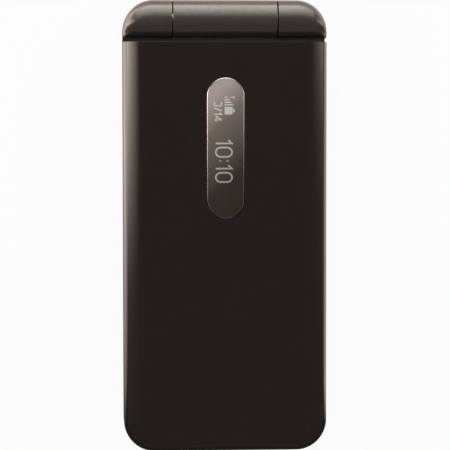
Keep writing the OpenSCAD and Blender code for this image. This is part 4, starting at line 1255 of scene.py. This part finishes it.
# One side's glow: its tone, times how far down the dome a place lies, how far along y and how near
# the side's own direction.
def sideGlow(tree, side, across, height, y, look):
    colour, start, along, power = look
    rise = fade(tree, calc(tree, "ARCTAN2", side, height), math.radians(start), studio["glowFoot"])
    turn = calc(tree, "ARCTAN2", calc(tree, "ABSOLUTE", across), side)
    course = calc(tree, "POWER", fade(tree, y, *along), power)
    share = product(tree, course, rise, fade(tree, turn, *studio["tentSides"]))
    return scaled(tree, colour, share)


# Dome over the phone, a sphere's upper half: rows go down from the top, columns go round. Its glow
# rises from a given angle off the zenith down to the horizon, on the left, right and hinge sides.
def makeTent():
    rows, columns = studio["tentRows"], studio["tentColumns"]
    down, across = np.meshgrid(np.linspace(studio["tentTop"], math.pi / 2, rows),
                               np.linspace(0, 2 * math.pi, columns), indexing="ij")
    points = studio["tentRadius"] * np.stack([np.sin(down) * np.cos(across), np.sin(down) * np.sin(across),
                                              np.cos(down)], -1)
    index = np.arange(rows * columns).reshape(rows, columns)
    cells = np.stack([index[:-1, :-1], index[:-1, 1:], index[1:, 1:], index[1:, :-1]], -1)
    material, tree, shader = newMaterial("tentGlow")
    tree.nodes.remove(shader)
    x, y, z = split(tree, objectPlace(tree))
    shown = addNode(tree, "CombineXYZ", dict(enumerate(studio["tentTone"]))).outputs[0]
    glows = [sideGlow(tree, product(tree, x, -1.0), y, z, y, studio["left"]),
             sideGlow(tree, x, y, z, y, studio["right"]), sideGlow(tree, y, x, z, y, studio["hinge"])]
    whole = vectorCalc(tree, "ADD", vectorCalc(tree, "ADD", glows[0], glows[1]), glows[2])
    shown = vectorCalc(tree, "ADD", shown, scaled(tree, whole, glowShare(tree)))
    diffuse = addNode(tree, "LightPath").outputs["Is Diffuse Ray"]
    seen = blendTone(tree, diffuse, shown, (studio["tentFill"],) * 3 + (1,))
    light = addNode(tree, "Emission", {"Color": seen, "Strength": 1.0})
    feed(tree, tree.nodes["Material Output"], {"Surface": light.outputs[0]})
    tent = addStage("studioTent", points.reshape(-1, 3).tolist(), cells.reshape(-1, 4).tolist(), material)
    tent.visible_camera = False


def makeWorld():
    world = bpy.data.worlds.new("studio")
    bpy.context.scene.world = world
    world.use_nodes = True
    tree = world.node_tree
    strength = fade(tree, backdropShare(tree), 0.0, 1.0, studio["ambient"], 1.0)
    feed(tree, tree.nodes["Background"], {"Color": (1, 1, 1, 1), "Strength": strength})


makeFloor()
makeTent()
makeWorld()

# Softboxes: size, place, the point each faces, and how bright its face is, where 1 is white. The
# gloss sees the tent's glow instead of them.
softboxes = {
    "leftBox": ((0.3, 0.5), (-0.5, 0.2, 0.5), (0, 0.02, 0.01), 1.2),
    "rightBox": ((0.2, 0.4), (0.55, 0.3, 0.4), (0, 0.04, 0.01), 0.9),
    "hingeBox": ((0.7, 0.25), (0, 0.65, 0.45), (0, 0.05, 0.01), 1.5),
    "topBox": ((0.8, 0.8), (0, 0, 0.8), (0, 0, 0), 1.65),
}


def makeSoftbox(name, size, place, towards, level):
    light = bpy.data.lights.new(name, "AREA")
    light.shape = "RECTANGLE"
    light.size, light.size_y = size
    light.energy = level * light.size * light.size_y * math.pi
    holder = placeFacing(name, light, place, (Vector(place) - Vector(towards)).normalized())
    holder.visible_camera = False
    holder.visible_glossy = False


for name, look in softboxes.items():
    makeSoftbox(name, *look)
print("studio made")

bpy.context.scene.view_settings.view_transform = "Standard"
